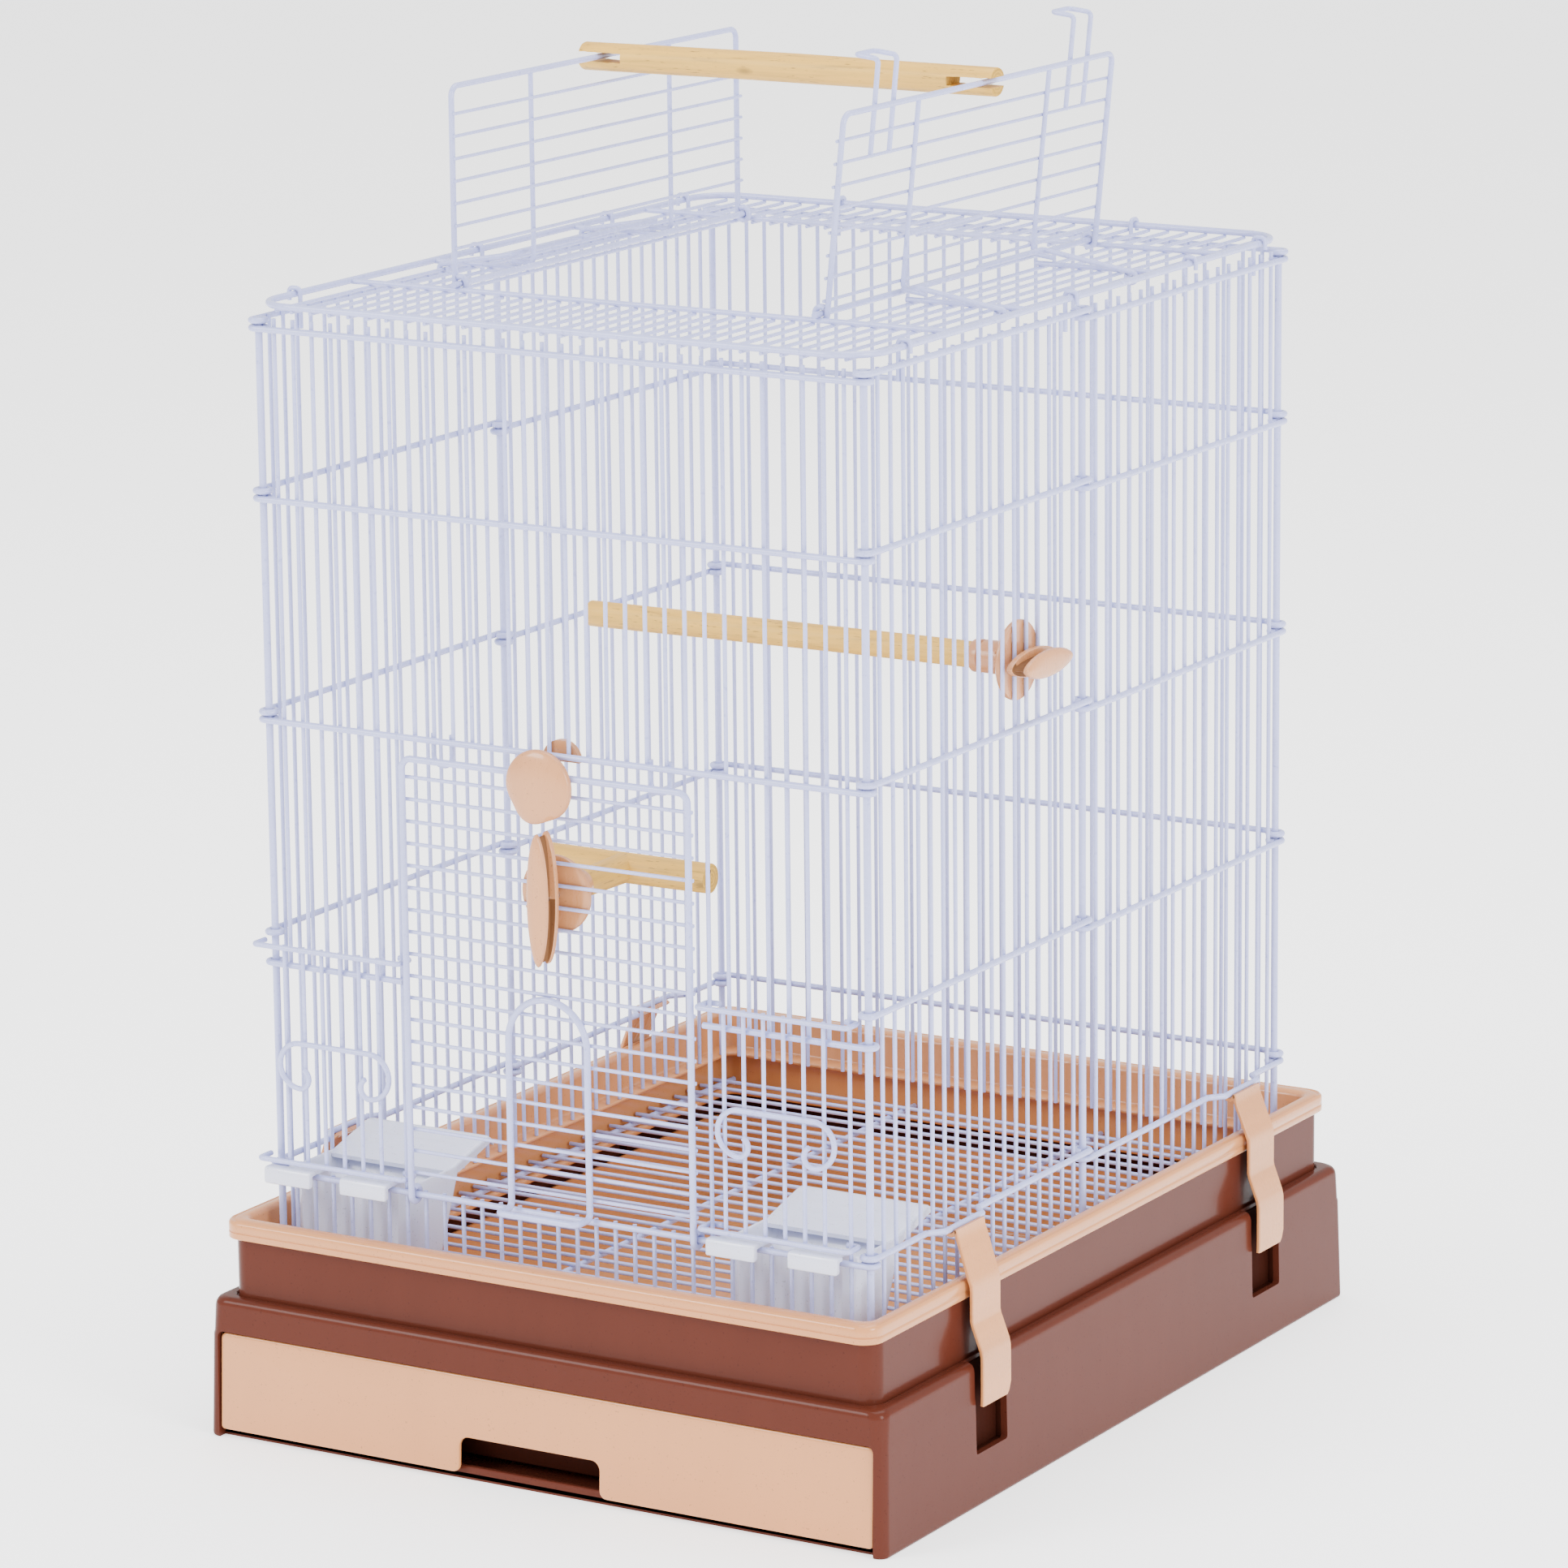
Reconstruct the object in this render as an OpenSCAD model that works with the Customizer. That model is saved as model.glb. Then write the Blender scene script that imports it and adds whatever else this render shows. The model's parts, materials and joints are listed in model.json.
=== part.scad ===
// Play-top bird cage: a wire cage on a two-tone plastic base with a pull-out drawer.
// Origin: centre of the base's footprint, on the surface it stands on. +Z up, -Y is the front.

/* [Base] */
// Width of the base along X
base_w = 372; // [372:1:376]
// Depth of the base along Y
base_d = 464; // [464:1:468]
// Height of the ledge round the lower wall
ledge_z = 69; // [66:1:72]
// Height of the rim
rim_z = 107; // [104:1:110]
// Wall thickness of the plastic parts
wall = 3; // [2.5:0.5:3.5]

/* [Cage] */
// Spacing of the bars in the front, the back and the roof
bar_gap = 10.5; // [10.4:0.02:10.6]
// Spacing of the bars in the side walls
side_gap = 11.2; // [11.15:0.01:11.25]
// Height of the roof frame
roof_z = 542; // [520:1:600]
// Diameter of the upright bars
bar_dia = 2; // [1.8:0.1:2.2]
// Diameter of the rails
rail_dia = 3; // [2.8:0.1:3.2]
// Diameter of the posts that the panels loop round
post_dia = 3.5; // [3.2:0.1:3.8]

/* [Doors] */
// Width of the front door between its side wires
door_w = 155; // [150:1:155]
// Centre of the front door along X
door_x = -5.5; // [-6:0.5:-5]
// Height of the front door's top wire
door_top_z = 337; // [330:1:340]
// Width of the arch on the front door
arch_w = 43; // [36:1:50]
// Height of the arch's crown
arch_top_z = 231; // [200:1:260]

/* [Roof opening] */
// Place of the left flap's hinge rod along X
left_rod_x = -103.5; // [-104:0.5:-98]
// Place of the right flap's hinge rod along X
right_rod_x = 92; // [86:0.5:92]
// Height of a flap
flap_h = 92; // [88:1:94]
// Lean of the right flap from upright
flap_lean = 6; // [6:1:8]

/* [Perches] */
// Diameter of the perch on the roof
top_perch_dia = 14.5; // [13:0.5:17]
// Diameter of the perch inside the cage
upper_perch_dia = 13; // [11:0.5:14]
// Diameter of the cross perch on the door
door_perch_dia = 15; // [14:0.5:18]

/* [Cups] */
// Width of a cup
cup_w = 70; // [60:1:72]
// Depth of a cup
cup_d = 72; // [70:1:90]

/* [Hidden] */
$fn = 32;

// Welds: how far a wire bites into the one it is welded to
weld = 0.2;
bar_r = bar_dia / 2;
rail_r = rail_dia / 2;
post_r = post_dia / 2;
// Running gap between a wire eye and the wire it turns on
eye_gap = 0.3;

// Gaps across the front, and in half a side wall
front_gaps = 31;
side_gaps = 18;
cage_w = front_gaps * bar_gap;
cage_d = 2 * side_gaps * side_gap;

// Rails lie outside the bars
rail_out = bar_r + rail_r - weld;
front_y = -cage_d / 2;
side_x = cage_w / 2;
rail_y = front_y - rail_out;
rail_x = side_x + rail_out;
// A rail's end loop turns round the post
loop_r = post_r + 0.15 + rail_r;
post_x = rail_x - loop_r;
post_y = -rail_y - loop_r;
bar_low_z = 88;
wall_top_z = roof_z - 6;
// Heights of the rails, from the top
rail_z = [roof_z - 11, roof_z - 91, roof_z - 196, roof_z - 302, 127];
low_rail_z = rail_z[4];
// The short rails over the feeder openings sit a little lower than the others
short_rail_z = rail_z[3] - 11;
// Loops of neighbouring panels sit one above the other
stack = 3.6;
// First and last bar of each opening in the front, counted from the left post
feeder_left_span = [0, 7];
door_span = [7, 23];
feeder_right_span = [23, 30];
function bar_x(i) = i * bar_gap - side_x;

// Base
base_r = 5;
drawer_top_z = 51.5;
sill_z = 6.5;
tray_z = sill_z + 1;
upper_w = 353;
upper_d = 447;
upper_z = rim_z - 9;
upper_r = 9;
collar_w = 357;
collar_d = 456.6;
collar_r = 10;
skirt_w = 346;
skirt_d = 440;
skirt_t = 2.2;
seat_z = bar_low_z - 0.2;
seat_in = 8;
grate_seat_z = 68;
grate_z = grate_seat_z + 4.6;
grate_gap = 12.7;
slot_y = [-131.5, 146];
clip_w = 26;
jog_x = 171;

// Front door
door_y = rail_y - rail_r - eye_gap - 1.6;
door_wire_dia = 3.2;
door_left = door_x - door_w / 2;
door_right = door_x + door_w / 2;
door_corner_r = 5;
door_eye_r = rail_r + eye_gap + door_wire_dia / 2;
door_fine_dia = 1.8;
door_fine_y = door_y + (door_wire_dia + door_fine_dia) / 2 - weld;
door_fine_count = 19;
step_out = 12;
step_z = low_rail_z + 2.4;
knob_z = 332.5;
knob_y = door_y - 1.9;
perch_x = door_x + 3.5;
perch_z = 281;
perch_in = 61;

// Feeder doors
feeder_wire_dia = 2.6;
feeder_bar_y = rail_y - rail_r - 0.5 - bar_r;
feeder_wire_y = feeder_bar_y - bar_r - feeder_wire_dia / 2 + weld;
feeder_top_z = short_rail_z + 9.5;
feeder_low_z = low_rail_z + 7;
hook_gap = 0.45;

// Roof
roof_r = 20;
roof_wire_dia = 3.2;
frame_x = side_x + 1;
frame_y = cage_d / 2 + 1;
roof_bar_dia = 1.8;
roof_bar_z = roof_z - roof_wire_dia / 2 - roof_bar_dia / 2 + weld;
cross_dia = 2.6;
cross_z = roof_bar_z + roof_bar_dia / 2 + cross_dia / 2 - weld;
cross_y = [-122, 139];
short_cross_y = [-51, 73];
rod_z = cross_z + cross_dia / 2 + rail_r - weld;
flap_dia = 2.8;
flap_eye_r = rail_r + eye_gap + flap_dia / 2;
flap_y = [cross_y[0] + 3.2, cross_y[1] - 3.2];
flap_rows_left = 7;
flap_rows_right = 8;
flap_row_gap = 10.5;
flap_top_gap = 12.5;
hook_y = [-87, 98];
flap_corner_r = 5;
flap_fine_dia = 1.6;
stay_dia = 2.6;
stay_eye_r = roof_bar_dia / 2 + eye_gap + stay_dia / 2;
stay_y = [-60, 66];
// Reach and tilt of the left and the right stay
stay_reach = [39, 45];
stay_tilt = [10.4, 9];
// The stays turn on the outermost roof bars
stay_x = bar_x(front_gaps - 1);
top_perch_y = 13;
upper_perch_y = -60;
upper_perch_z = 380;
// Where each flap's top wire lies
flap_top_left = [left_rod_x - flap_eye_r, rod_z + flap_h];
flap_top_right = [
  right_rod_x + flap_eye_r * cos(flap_lean) + flap_h * sin(flap_lean),
  rod_z - flap_eye_r * sin(flap_lean) + flap_h * cos(flap_lean)
];

wire_colour = [0.88, 0.9, 0.96];
base_colour = [0.59, 0.35, 0.28];
tan_colour = [0.88, 0.73, 0.59];
holder_colour = [0.9, 0.76, 0.66];
wood_colour = [0.86, 0.72, 0.51];
cup_colour = [0.95, 0.95, 0.96];

// --- Wire shapes ---

function unit(v) = v / norm(v);

// Straight wire from a to b
module wire(a, b, dia) {
  v = b - a;
  translate(a)
    rotate([0, acos(v[2] / norm(v)), atan2(v[1], v[0])])
      cylinder(d = dia, h = norm(v));
}

// Round bend about centre c, from direction x towards direction y
module bend(c, x, y, r, angle, dia) {
  z = cross(x, y);
  multmatrix([
    [x[0], y[0], z[0], c[0]],
    [x[1], y[1], z[1], c[1]],
    [x[2], y[2], z[2], c[2]],
    [0, 0, 0, 1]
  ])
    rotate_extrude(angle = angle)
      translate([r, 0])
        circle(d = dia);
}

// True for a step along one axis
function straight(v) = max([for (c = unit(v)) abs(c)]) > 0.9999;

// Wire along points: square corners are bent to radius r, slanting ones are rounded by a ball
module bent_wire(points, r, dia) {
  last = len(points) - 1;
  square = [for (i = [0 : last]) i > 0 && i < last &&
    straight(points[i] - points[i - 1]) && straight(points[i + 1] - points[i])];
  for (i = [0 : last - 1]) {
    along = unit(points[i + 1] - points[i]);
    wire(
      points[i] + along * (square[i] ? r : 0),
      points[i + 1] - along * (square[i + 1] ? r : 0),
      dia
    );
  }
  for (i = [1 : last - 1]) {
    into = unit(points[i] - points[i - 1]);
    out = unit(points[i + 1] - points[i]);
    if (square[i])
      bend(points[i] - into * r + out * r, -out, into, r, 90, dia);
    else
      translate(points[i])
        sphere(d = dia + 0.12);
  }
}

// Rail along X or Y on the outside of a panel, with a loop round the post at each end
module looped_rail(from, to, out, dia = rail_dia) {
  along = unit(to - from);
  wire(from, to, dia);
  bend(to - out * loop_r, out, along, loop_r, 290, dia);
  bend(from - out * loop_r, out, -along, loop_r, 290, dia);
}

// --- Base ---

module rounded_plate(w, d, r, h) {
  linear_extrude(h)
    union() {
      square([w - 2 * r, d], center = true);
      square([w, d - 2 * r], center = true);
      for (x = [-1, 1], y = [-1, 1])
        translate([x * (w / 2 - r), y * (d / 2 - r)])
          circle(r);
    }
}

module base_shell() {
  inner_w = upper_w - 2 * wall;
  inner_d = upper_d - 2 * wall;
  color(base_colour)
    difference() {
      union() {
        difference() {
          union() {
            rounded_plate(base_w, base_d, base_r, ledge_z);
            rounded_plate(upper_w, upper_d, upper_r, upper_z);
          }
          translate([0, 0, wall])
            rounded_plate(base_w - 2 * wall, base_d - 2 * wall, base_r - wall, ledge_z - 2 * wall);
          translate([0, 0, wall])
            rounded_plate(inner_w, inner_d, upper_r - wall, upper_z);
          // mouth of the drawer, open at the bottom
          translate([-180, -base_d / 2 - 1, -1])
            cube([360, wall + 2, drawer_top_z + 1.5]);
          translate([-180, -base_d / 2 - 1, -1])
            cube([360, 6, wall + 2]);
        }
        // sill behind the drawer's front
        translate([-181, 5 - base_d / 2, 0])
          cube([362, wall, sill_z]);
        // backs of the clips' pockets
        for (s = [-1, 1], y = slot_y)
          translate([s * (base_w / 2 - 4.4) - 4, y - 16.5, 14])
            cube([8, 33, 52]);
      }
      for (s = [-1, 1], y = slot_y)
        translate([s * (base_w / 2) - 5.5, y - 14.5, 25])
          cube([11, 29, 50]);
    }
}

module rim_collar() {
  color(tan_colour)
    difference() {
      union() {
        // lip over the upper wall
        translate([0, 0, upper_z])
          rounded_plate(collar_w, collar_d, collar_r, rim_z - upper_z);
        // skirt inside the wall
        translate([0, 0, grate_seat_z - 3])
          rounded_plate(skirt_w, skirt_d, 8, upper_z - grate_seat_z + 4);
      }
      translate([0, 0, grate_seat_z])
        rounded_plate(skirt_w - 2 * skirt_t, skirt_d - 2 * skirt_t, 6, seat_z - 2 - grate_seat_z);
      translate([0, 0, seat_z])
        rounded_plate(skirt_w - 2 * skirt_t, skirt_d - 2 * skirt_t, 6, rim_z);
      translate([0, 0, grate_seat_z - 5])
        rounded_plate(skirt_w - 23, skirt_d - 26, 4, rim_z);
    }
}

module grate_wires() {
  w = skirt_w - 2 * skirt_t - 3;
  rows = floor((skirt_d - 24) / grate_gap / 2);
  color(wire_colour)
    for (i = [-rows : rows])
      wire([-w / 2, i * grate_gap, grate_z], [w / 2, i * grate_gap, grate_z], bar_dia);
}

module grate_frame() {
  w = skirt_w - 2 * skirt_t - 12;
  d = skirt_d - 2 * skirt_t - 3;
  z = grate_z - bar_r - 1.5 + weld;
  color(wire_colour)
    for (x = [-w / 2, -w / 6, w / 6, w / 2])
      wire([x, -d / 2, z], [x, d / 2, z], 3);
}

module drawer() {
  panel_y = -base_d / 2 + 0.4;
  panel_z = 4;
  tray_y = panel_y + 24;
  tray_w = 350;
  tray_d = 424;
  color(tan_colour)
    difference() {
      union() {
        // front panel, and the flange and webs that join it to the tray
        translate([-179.4, panel_y, panel_z])
          cube([358.8, 2.4, drawer_top_z - panel_z]);
        translate([-tray_w / 2, panel_y, drawer_top_z - 2.4])
          cube([tray_w, 26, 2.4]);
        for (x = [-tray_w / 2, tray_w / 2 - 2.2])
          translate([x, panel_y, tray_z])
            cube([2.2, 30, drawer_top_z - tray_z]);
        translate([-tray_w / 2, tray_y, tray_z])
          cube([tray_w, tray_d, drawer_top_z - tray_z]);
      }
      translate([-tray_w / 2 + 2.2, tray_y + 2.2, tray_z + 2.2])
        cube([tray_w - 4.4, tray_d - 4.4, 60]);
      // finger notch in the lower edge
      translate([-5, panel_y - 1, panel_z])
        rotate([90, 0, 0])
          mirror([0, 0, 1])
            linear_extrude(4)
              union() {
                translate([-40.5, -1])
                  square([81, 14]);
                translate([-35.5, -1])
                  square([71, 19]);
                for (x = [-35.5, 35.5])
                  translate([x, 13])
                    circle(5);
              }
    }
}

// --- Walls of the cage ---

module corner_posts() {
  color(wire_colour)
    for (x = [-post_x, post_x], y = [-post_y, post_y])
      wire([x, y, bar_low_z], [x, y, wall_top_z], post_dia);
}

module mid_posts() {
  color(wire_colour)
    for (x = [-post_x, post_x])
      wire([x, 0, bar_low_z], [x, 0, wall_top_z], post_dia);
}

module upright(x, y, low = bar_low_z, high = wall_top_z) {
  wire([x, y, low], [x, y, high], bar_dia);
}

module front_bars() {
  inside = function (i, span) i > span[0] && i < span[1];
  color(wire_colour)
    for (i = [1 : front_gaps - 1])
      if (inside(i, door_span)) {
        upright(bar_x(i), front_y, high = low_rail_z + rail_r);
        upright(bar_x(i), front_y, low = rail_z[2] - rail_r);
      } else if (inside(i, feeder_left_span) || inside(i, feeder_right_span)) {
        upright(bar_x(i), front_y, high = low_rail_z + rail_r);
        upright(bar_x(i), front_y, low = short_rail_z - rail_r);
      } else
        upright(bar_x(i), front_y);
}

module front_rails() {
  out = [0, -1, 0];
  color(wire_colour) {
    for (i = [0, 1, 2, 4])
      looped_rail([-post_x, rail_y, rail_z[i]], [post_x, rail_y, rail_z[i]], out);
    // short rails over the feeder openings
    wire([-post_x, rail_y, short_rail_z], [bar_x(7) + 2, rail_y, short_rail_z], rail_dia);
    bend([-post_x, -post_y, short_rail_z], out, [-1, 0, 0], loop_r, 290, rail_dia);
    wire([bar_x(23) - 2, rail_y, short_rail_z], [post_x, rail_y, short_rail_z], rail_dia);
    bend([post_x, -post_y, short_rail_z], out, [1, 0, 0], loop_r, 290, rail_dia);
  }
}

module back_bars() {
  color(wire_colour)
    for (i = [1 : front_gaps - 1])
      upright(bar_x(i), -front_y);
}

module back_rails() {
  color(wire_colour)
    for (z = rail_z)
      looped_rail([-post_x, -rail_y, z + stack], [post_x, -rail_y, z + stack], [0, 1, 0]);
}

// s is -1 for the left wall and 1 for the right, h is -1 for the front half and 1 for the rear
module side_bars(s, h) {
  color(wire_colour)
    for (i = [1 : side_gaps - 1])
      upright(s * side_x, h * i * side_gap);
}

module side_rails(s, h) {
  lift = h < 0 ? stack : 0;
  near = h < 0 ? -post_y : 0;
  far = h < 0 ? 0 : post_y;
  out = [s, 0, 0];
  jog_y = slot_y[h < 0 ? 0 : 1];
  x = s * rail_x;
  z = low_rail_z + lift;
  color(wire_colour) {
    for (i = [0, 1, 2, 3])
      looped_rail([x, near, rail_z[i] + lift], [x, far, rail_z[i] + lift], out);
    // the lowest rail steps out to carry the clip
    bent_wire([
      [x, near, z],
      [x, jog_y - 24, z],
      [s * jog_x, jog_y - 17, z],
      [s * jog_x, jog_y + 17, z],
      [x, jog_y + 24, z],
      [x, far, z]
    ], 4, rail_dia);
    bend([x, far, z] - out * loop_r, out, [0, 1, 0], loop_r, 290, rail_dia);
    bend([x, near, z] - out * loop_r, out, [0, -1, 0], loop_r, 290, rail_dia);
  }
}

module left_front_bars() { side_bars(-1, -1); }
module left_front_rails() { side_rails(-1, -1); }
module left_rear_bars() { side_bars(-1, 1); }
module left_rear_rails() { side_rails(-1, 1); }
module right_front_bars() { side_bars(1, -1); }
module right_front_rails() { side_rails(1, -1); }
module right_rear_bars() { side_bars(1, 1); }
module right_rear_rails() { side_rails(1, 1); }

// Wire loops that hang from the rail and stop the door from swinging in
module door_stops() {
  z = rail_z[2];
  low = z - 12;
  color(wire_colour)
    for (x = [bar_x(9) + 4, bar_x(21) - 4])
      bent_wire([
        [x - 5, front_y + 0.8, z + 3],
        [x - 5, front_y + 0.8, low],
        [x + 5, front_y + 0.8, low],
        [x + 5, front_y + 0.8, z + 3]
      ], 4.5, 2.4);
}

module lock_keeper() {
  x = door_x + 5.5;
  color(holder_colour)
    translate([x, front_y + bar_r + 3.2, rail_z[2] - 3.1])
      rotate([90, 0, 0])
        difference() {
          cylinder(d = 20, h = 3, $fn = 48);
          translate([-15, -30, -1])
            cube([30, 30, 5]);
        }
}

// --- Roof ---

module roof_frame() {
  x = frame_x;
  y = frame_y;
  color(wire_colour)
    bent_wire([
      [0, -y, roof_z], [x, -y, roof_z], [x, y, roof_z],
      [-x, y, roof_z], [-x, -y, roof_z], [0, -y, roof_z]
    ], roof_r, roof_wire_dia);
}

module roof_bars() {
  color(wire_colour)
    for (i = [1 : front_gaps - 1]) {
      x = bar_x(i);
      // the outermost bars end inside the round corners
      end = frame_y - (abs(x) > frame_x - roof_r ? 3 : 0);
      if (x > left_rod_x - 3 && x < right_rod_x + 3) {
        wire([x, -end, roof_bar_z], [x, cross_y[0] + 1, roof_bar_z], roof_bar_dia);
        wire([x, cross_y[1] - 1, roof_bar_z], [x, end, roof_bar_z], roof_bar_dia);
      } else
        wire([x, -end, roof_bar_z], [x, end, roof_bar_z], roof_bar_dia);
    }
}

module roof_cross_wires() {
  x = frame_x - 0.8;
  color(wire_colour) {
    for (y = cross_y)
      wire([-x, y, cross_z], [x, y, cross_z], cross_dia);
    for (y = short_cross_y) {
      wire([-x, y, cross_z], [left_rod_x - 5.5, y, cross_z], cross_dia);
      wire([right_rod_x + 5.5, y, cross_z], [x, y, cross_z], cross_dia);
    }
  }
}

module flap_rods() {
  color(wire_colour)
    for (x = [left_rod_x, right_rod_x])
      wire([x, cross_y[0] - 3, rod_z], [x, cross_y[1] + 3, rod_z], rail_dia);
}

// Wire links that tie the roof frame to the top rail of each wall
module roof_clips() {
  dia = 2.2;
  reach = roof_wire_dia / 2 + dia / 2 + 0.1;
  top = roof_z + reach;
  low = wall_top_z - 10;
  color(wire_colour) {
    for (s = [-1, 1], y = [-168, -14, 104, 176])
      bent_wire([
        [s * (side_x - 2.2), y, low],
        [s * (side_x - 2.2), y, top],
        [s * (frame_x + reach + 0.2), y, top],
        [s * (frame_x + reach + 0.2), y, roof_z - 3]
      ], 2, dia);
    for (x = [-86, 81])
      bent_wire([
        [x, -front_y - 2.2, low],
        [x, -front_y - 2.2, top],
        [x, frame_y + reach + 0.2, top],
        [x, frame_y + reach + 0.2, roof_z - 3]
      ], 2, dia);
  }
}

// --- Perches ---

module upper_perch() {
  color(wood_colour)
    translate([side_x - 16, upper_perch_y, upper_perch_z])
      rotate([0, -90, 0])
        cylinder(d = upper_perch_dia, h = 219);
}

// Holder that grips the bars from inside
module perch_flange(disc_dia, neck_dia, neck_len) {
  difference() {
    union() {
      cylinder(d = disc_dia, h = 3.5, $fn = 48);
      cylinder(d = neck_dia, h = neck_len, $fn = 48);
      for (a = [0 : 45 : 135])
        rotate([0, 0, a])
          translate([-disc_dia / 2 + 1.5, -0.8, 0])
            cube([disc_dia - 3, 1.6, 6]);
    }
    translate([0, 0, 6])
      cylinder(d = neck_dia - 3, h = neck_len, $fn = 48);
    translate([0, 0, -1])
      cylinder(d = 5, h = 20);
  }
}

module upper_perch_flange() {
  color(holder_colour)
    translate([side_x - bar_r - 0.1, upper_perch_y, upper_perch_z])
      rotate([0, -90, 0])
        perch_flange(38, upper_perch_dia + 3, 24);
}

module bolt(len) {
  cylinder(d = 5, h = len);
}

module upper_perch_bolt() {
  color("silver")
    translate([side_x - 22, upper_perch_y, upper_perch_z])
      rotate([0, 90, 0])
        bolt(33);
}

// Leaf-shaped nut with a groove along each flank, on a bolt of 5 mm
module wing_nut(span, width, depth) {
  r = (span * span / 4 + width * width / 4) / width;
  difference() {
    union() {
      leaf(r, width, depth);
      cylinder(d = min(12, width - 1), h = depth, $fn = 48);
    }
    for (s = [-1, 1])
      translate([0, 0, 4])
        intersection() {
          difference() {
            leaf(r, width + 2, depth - 8);
            leaf(r, width - 5, depth - 8);
          }
          translate([0, s * span / 4 + s * 4.2, 0])
            cube([40, span / 2 - 4, 40], center = true);
        }
    translate([0, 0, -1])
      cylinder(d = 5.2, h = depth - 2);
  }
}

// Leaf outline, its length along Y
module leaf(r, width, h) {
  linear_extrude(h)
    intersection() {
      translate([width / 2 - r, 0])
        circle(r, $fn = 96);
      translate([r - width / 2, 0])
        circle(r, $fn = 96);
    }
}

module upper_perch_nut() {
  color(holder_colour)
    translate([rail_x + rail_r + 0.4, upper_perch_y, upper_perch_z])
      rotate([0, 90, 0])
        wing_nut(45, 13, 12);
}

// --- Front door ---

module door_frame() {
  color(wire_colour) {
    bent_wire([
      [door_left, door_y, low_rail_z],
      [door_left, door_y, door_top_z],
      [door_right, door_y, door_top_z],
      [door_right, door_y, low_rail_z]
    ], door_corner_r, door_wire_dia);
    // eyes round the lowest rail
    for (x = [door_left, door_right])
      bend([x, rail_y, low_rail_z], [0, -1, 0], [0, 0, -1], door_eye_r, 300, door_wire_dia);
  }
}

module door_wires() {
  low = low_rail_z + 10.9;
  step = (door_top_z - 9.2 - low) / (door_fine_count - 1);
  color(wire_colour)
    for (i = [0 : door_fine_count - 1]) {
      z = low + i * step;
      wire([door_left - 1, door_fine_y, z], [door_right + 1, door_fine_y, z], door_fine_dia);
    }
}

// Arch with its foot bent out as a landing step
module door_arch() {
  r = arch_w / 2;
  spring_z = arch_top_z - r;
  out_y = door_y - step_out;
  color(wire_colour) {
    bend([door_x, door_y, spring_z], [1, 0, 0], [0, 0, 1], r, 180, door_wire_dia);
    bent_wire([
      [door_x - r, door_y, spring_z],
      [door_x - r, door_y, step_z],
      [door_x - r, out_y, step_z],
      [door_x + r, out_y, step_z],
      [door_x + r, door_y, step_z],
      [door_x + r, door_y, spring_z]
    ], 3, door_wire_dia);
  }
}

module door_perch() {
  y = door_fine_y + perch_in;
  color(wood_colour) {
    translate([perch_x - 47, y, perch_z])
      rotate([0, 90, 0])
        cylinder(d = door_perch_dia, h = 94);
    translate([perch_x, door_fine_y + 15, perch_z])
      rotate([-90, 0, 0])
        cylinder(d = 12, h = perch_in - 15);
  }
}

module door_perch_flange() {
  color(holder_colour)
    translate([perch_x, door_fine_y + door_fine_dia / 2 + 0.1, perch_z])
      rotate([-90, 0, 0])
        perch_flange(37, 15.5, 22);
}

module door_perch_bolt() {
  color("silver")
    translate([perch_x, door_y - 9, perch_z])
      rotate([-90, 0, 0])
        bolt(32);
}

module door_perch_nut() {
  color(holder_colour)
    translate([perch_x, door_y - door_wire_dia / 2 - 0.4, perch_z])
      rotate([90, 0, 0])
        wing_nut(63, 11.5, 12);
}

// Plate behind the door's wires that the knob's spindle turns in
module door_lock_plate() {
  color(holder_colour)
    translate([door_x, door_fine_y + door_fine_dia / 2 + 0.1, knob_z])
      rotate([-90, 0, 0])
        difference() {
          cylinder(d = 14, h = 2.2, $fn = 48);
          translate([0, 0, -1])
            cylinder(d = 5.2, h = 5);
        }
}

// Teardrop knob on a spindle
module door_knob() {
  color(holder_colour)
    translate([door_x, knob_y, knob_z]) {
      rotate([90, 0, 0])
        linear_extrude(6)
          union() {
            circle(d = 35, $fn = 64);
            translate([0, -2])
              intersection() {
                translate([-6, 0])
                  circle(d = 38, $fn = 64);
                translate([6, 0])
                  circle(d = 38, $fn = 64);
              }
          }
      translate([0, -1, 0])
        rotate([-90, 0, 0])
          cylinder(d = 5, h = 9);
    }
}

// --- Feeder doors ---

// A cross wire in front of the guides. It hooks round the guide bar at x1, and round the one at
// x0 too, or just past the corner post where x0 is the post.
module hooked_wire(x0, x1, z) {
  k = bar_r + hook_gap + feeder_wire_dia / 2;
  hook_y = front_y + k + 0.2;
  past_post = -post_x - loop_r - rail_r - hook_gap - feeder_wire_dia / 2;
  bent_wire(concat(
    x0 <= -post_x ? [
      [past_post, -post_y + 1, z],
      [past_post, feeder_wire_y, z]
    ] : [
      [x0 + k + 1, hook_y, z],
      [x0 - k, hook_y, z],
      [x0 - k, feeder_wire_y, z]
    ], [
      [x1 + k, feeder_wire_y, z],
      [x1 + k, hook_y, z],
      [x1 - k - 1, hook_y, z]
    ]
  ), 2, feeder_wire_dia);
}

module feeder_frame(span) {
  color(wire_colour)
    for (z = [feeder_low_z, feeder_top_z])
      hooked_wire(bar_x(span[0]), bar_x(span[1]), z);
}

module feeder_bars(span) {
  color(wire_colour)
    for (i = [span[0] + 1 : span[1] - 1])
      upright(bar_x(i), feeder_bar_y, feeder_low_z - 1, feeder_top_z + 1);
}

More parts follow.
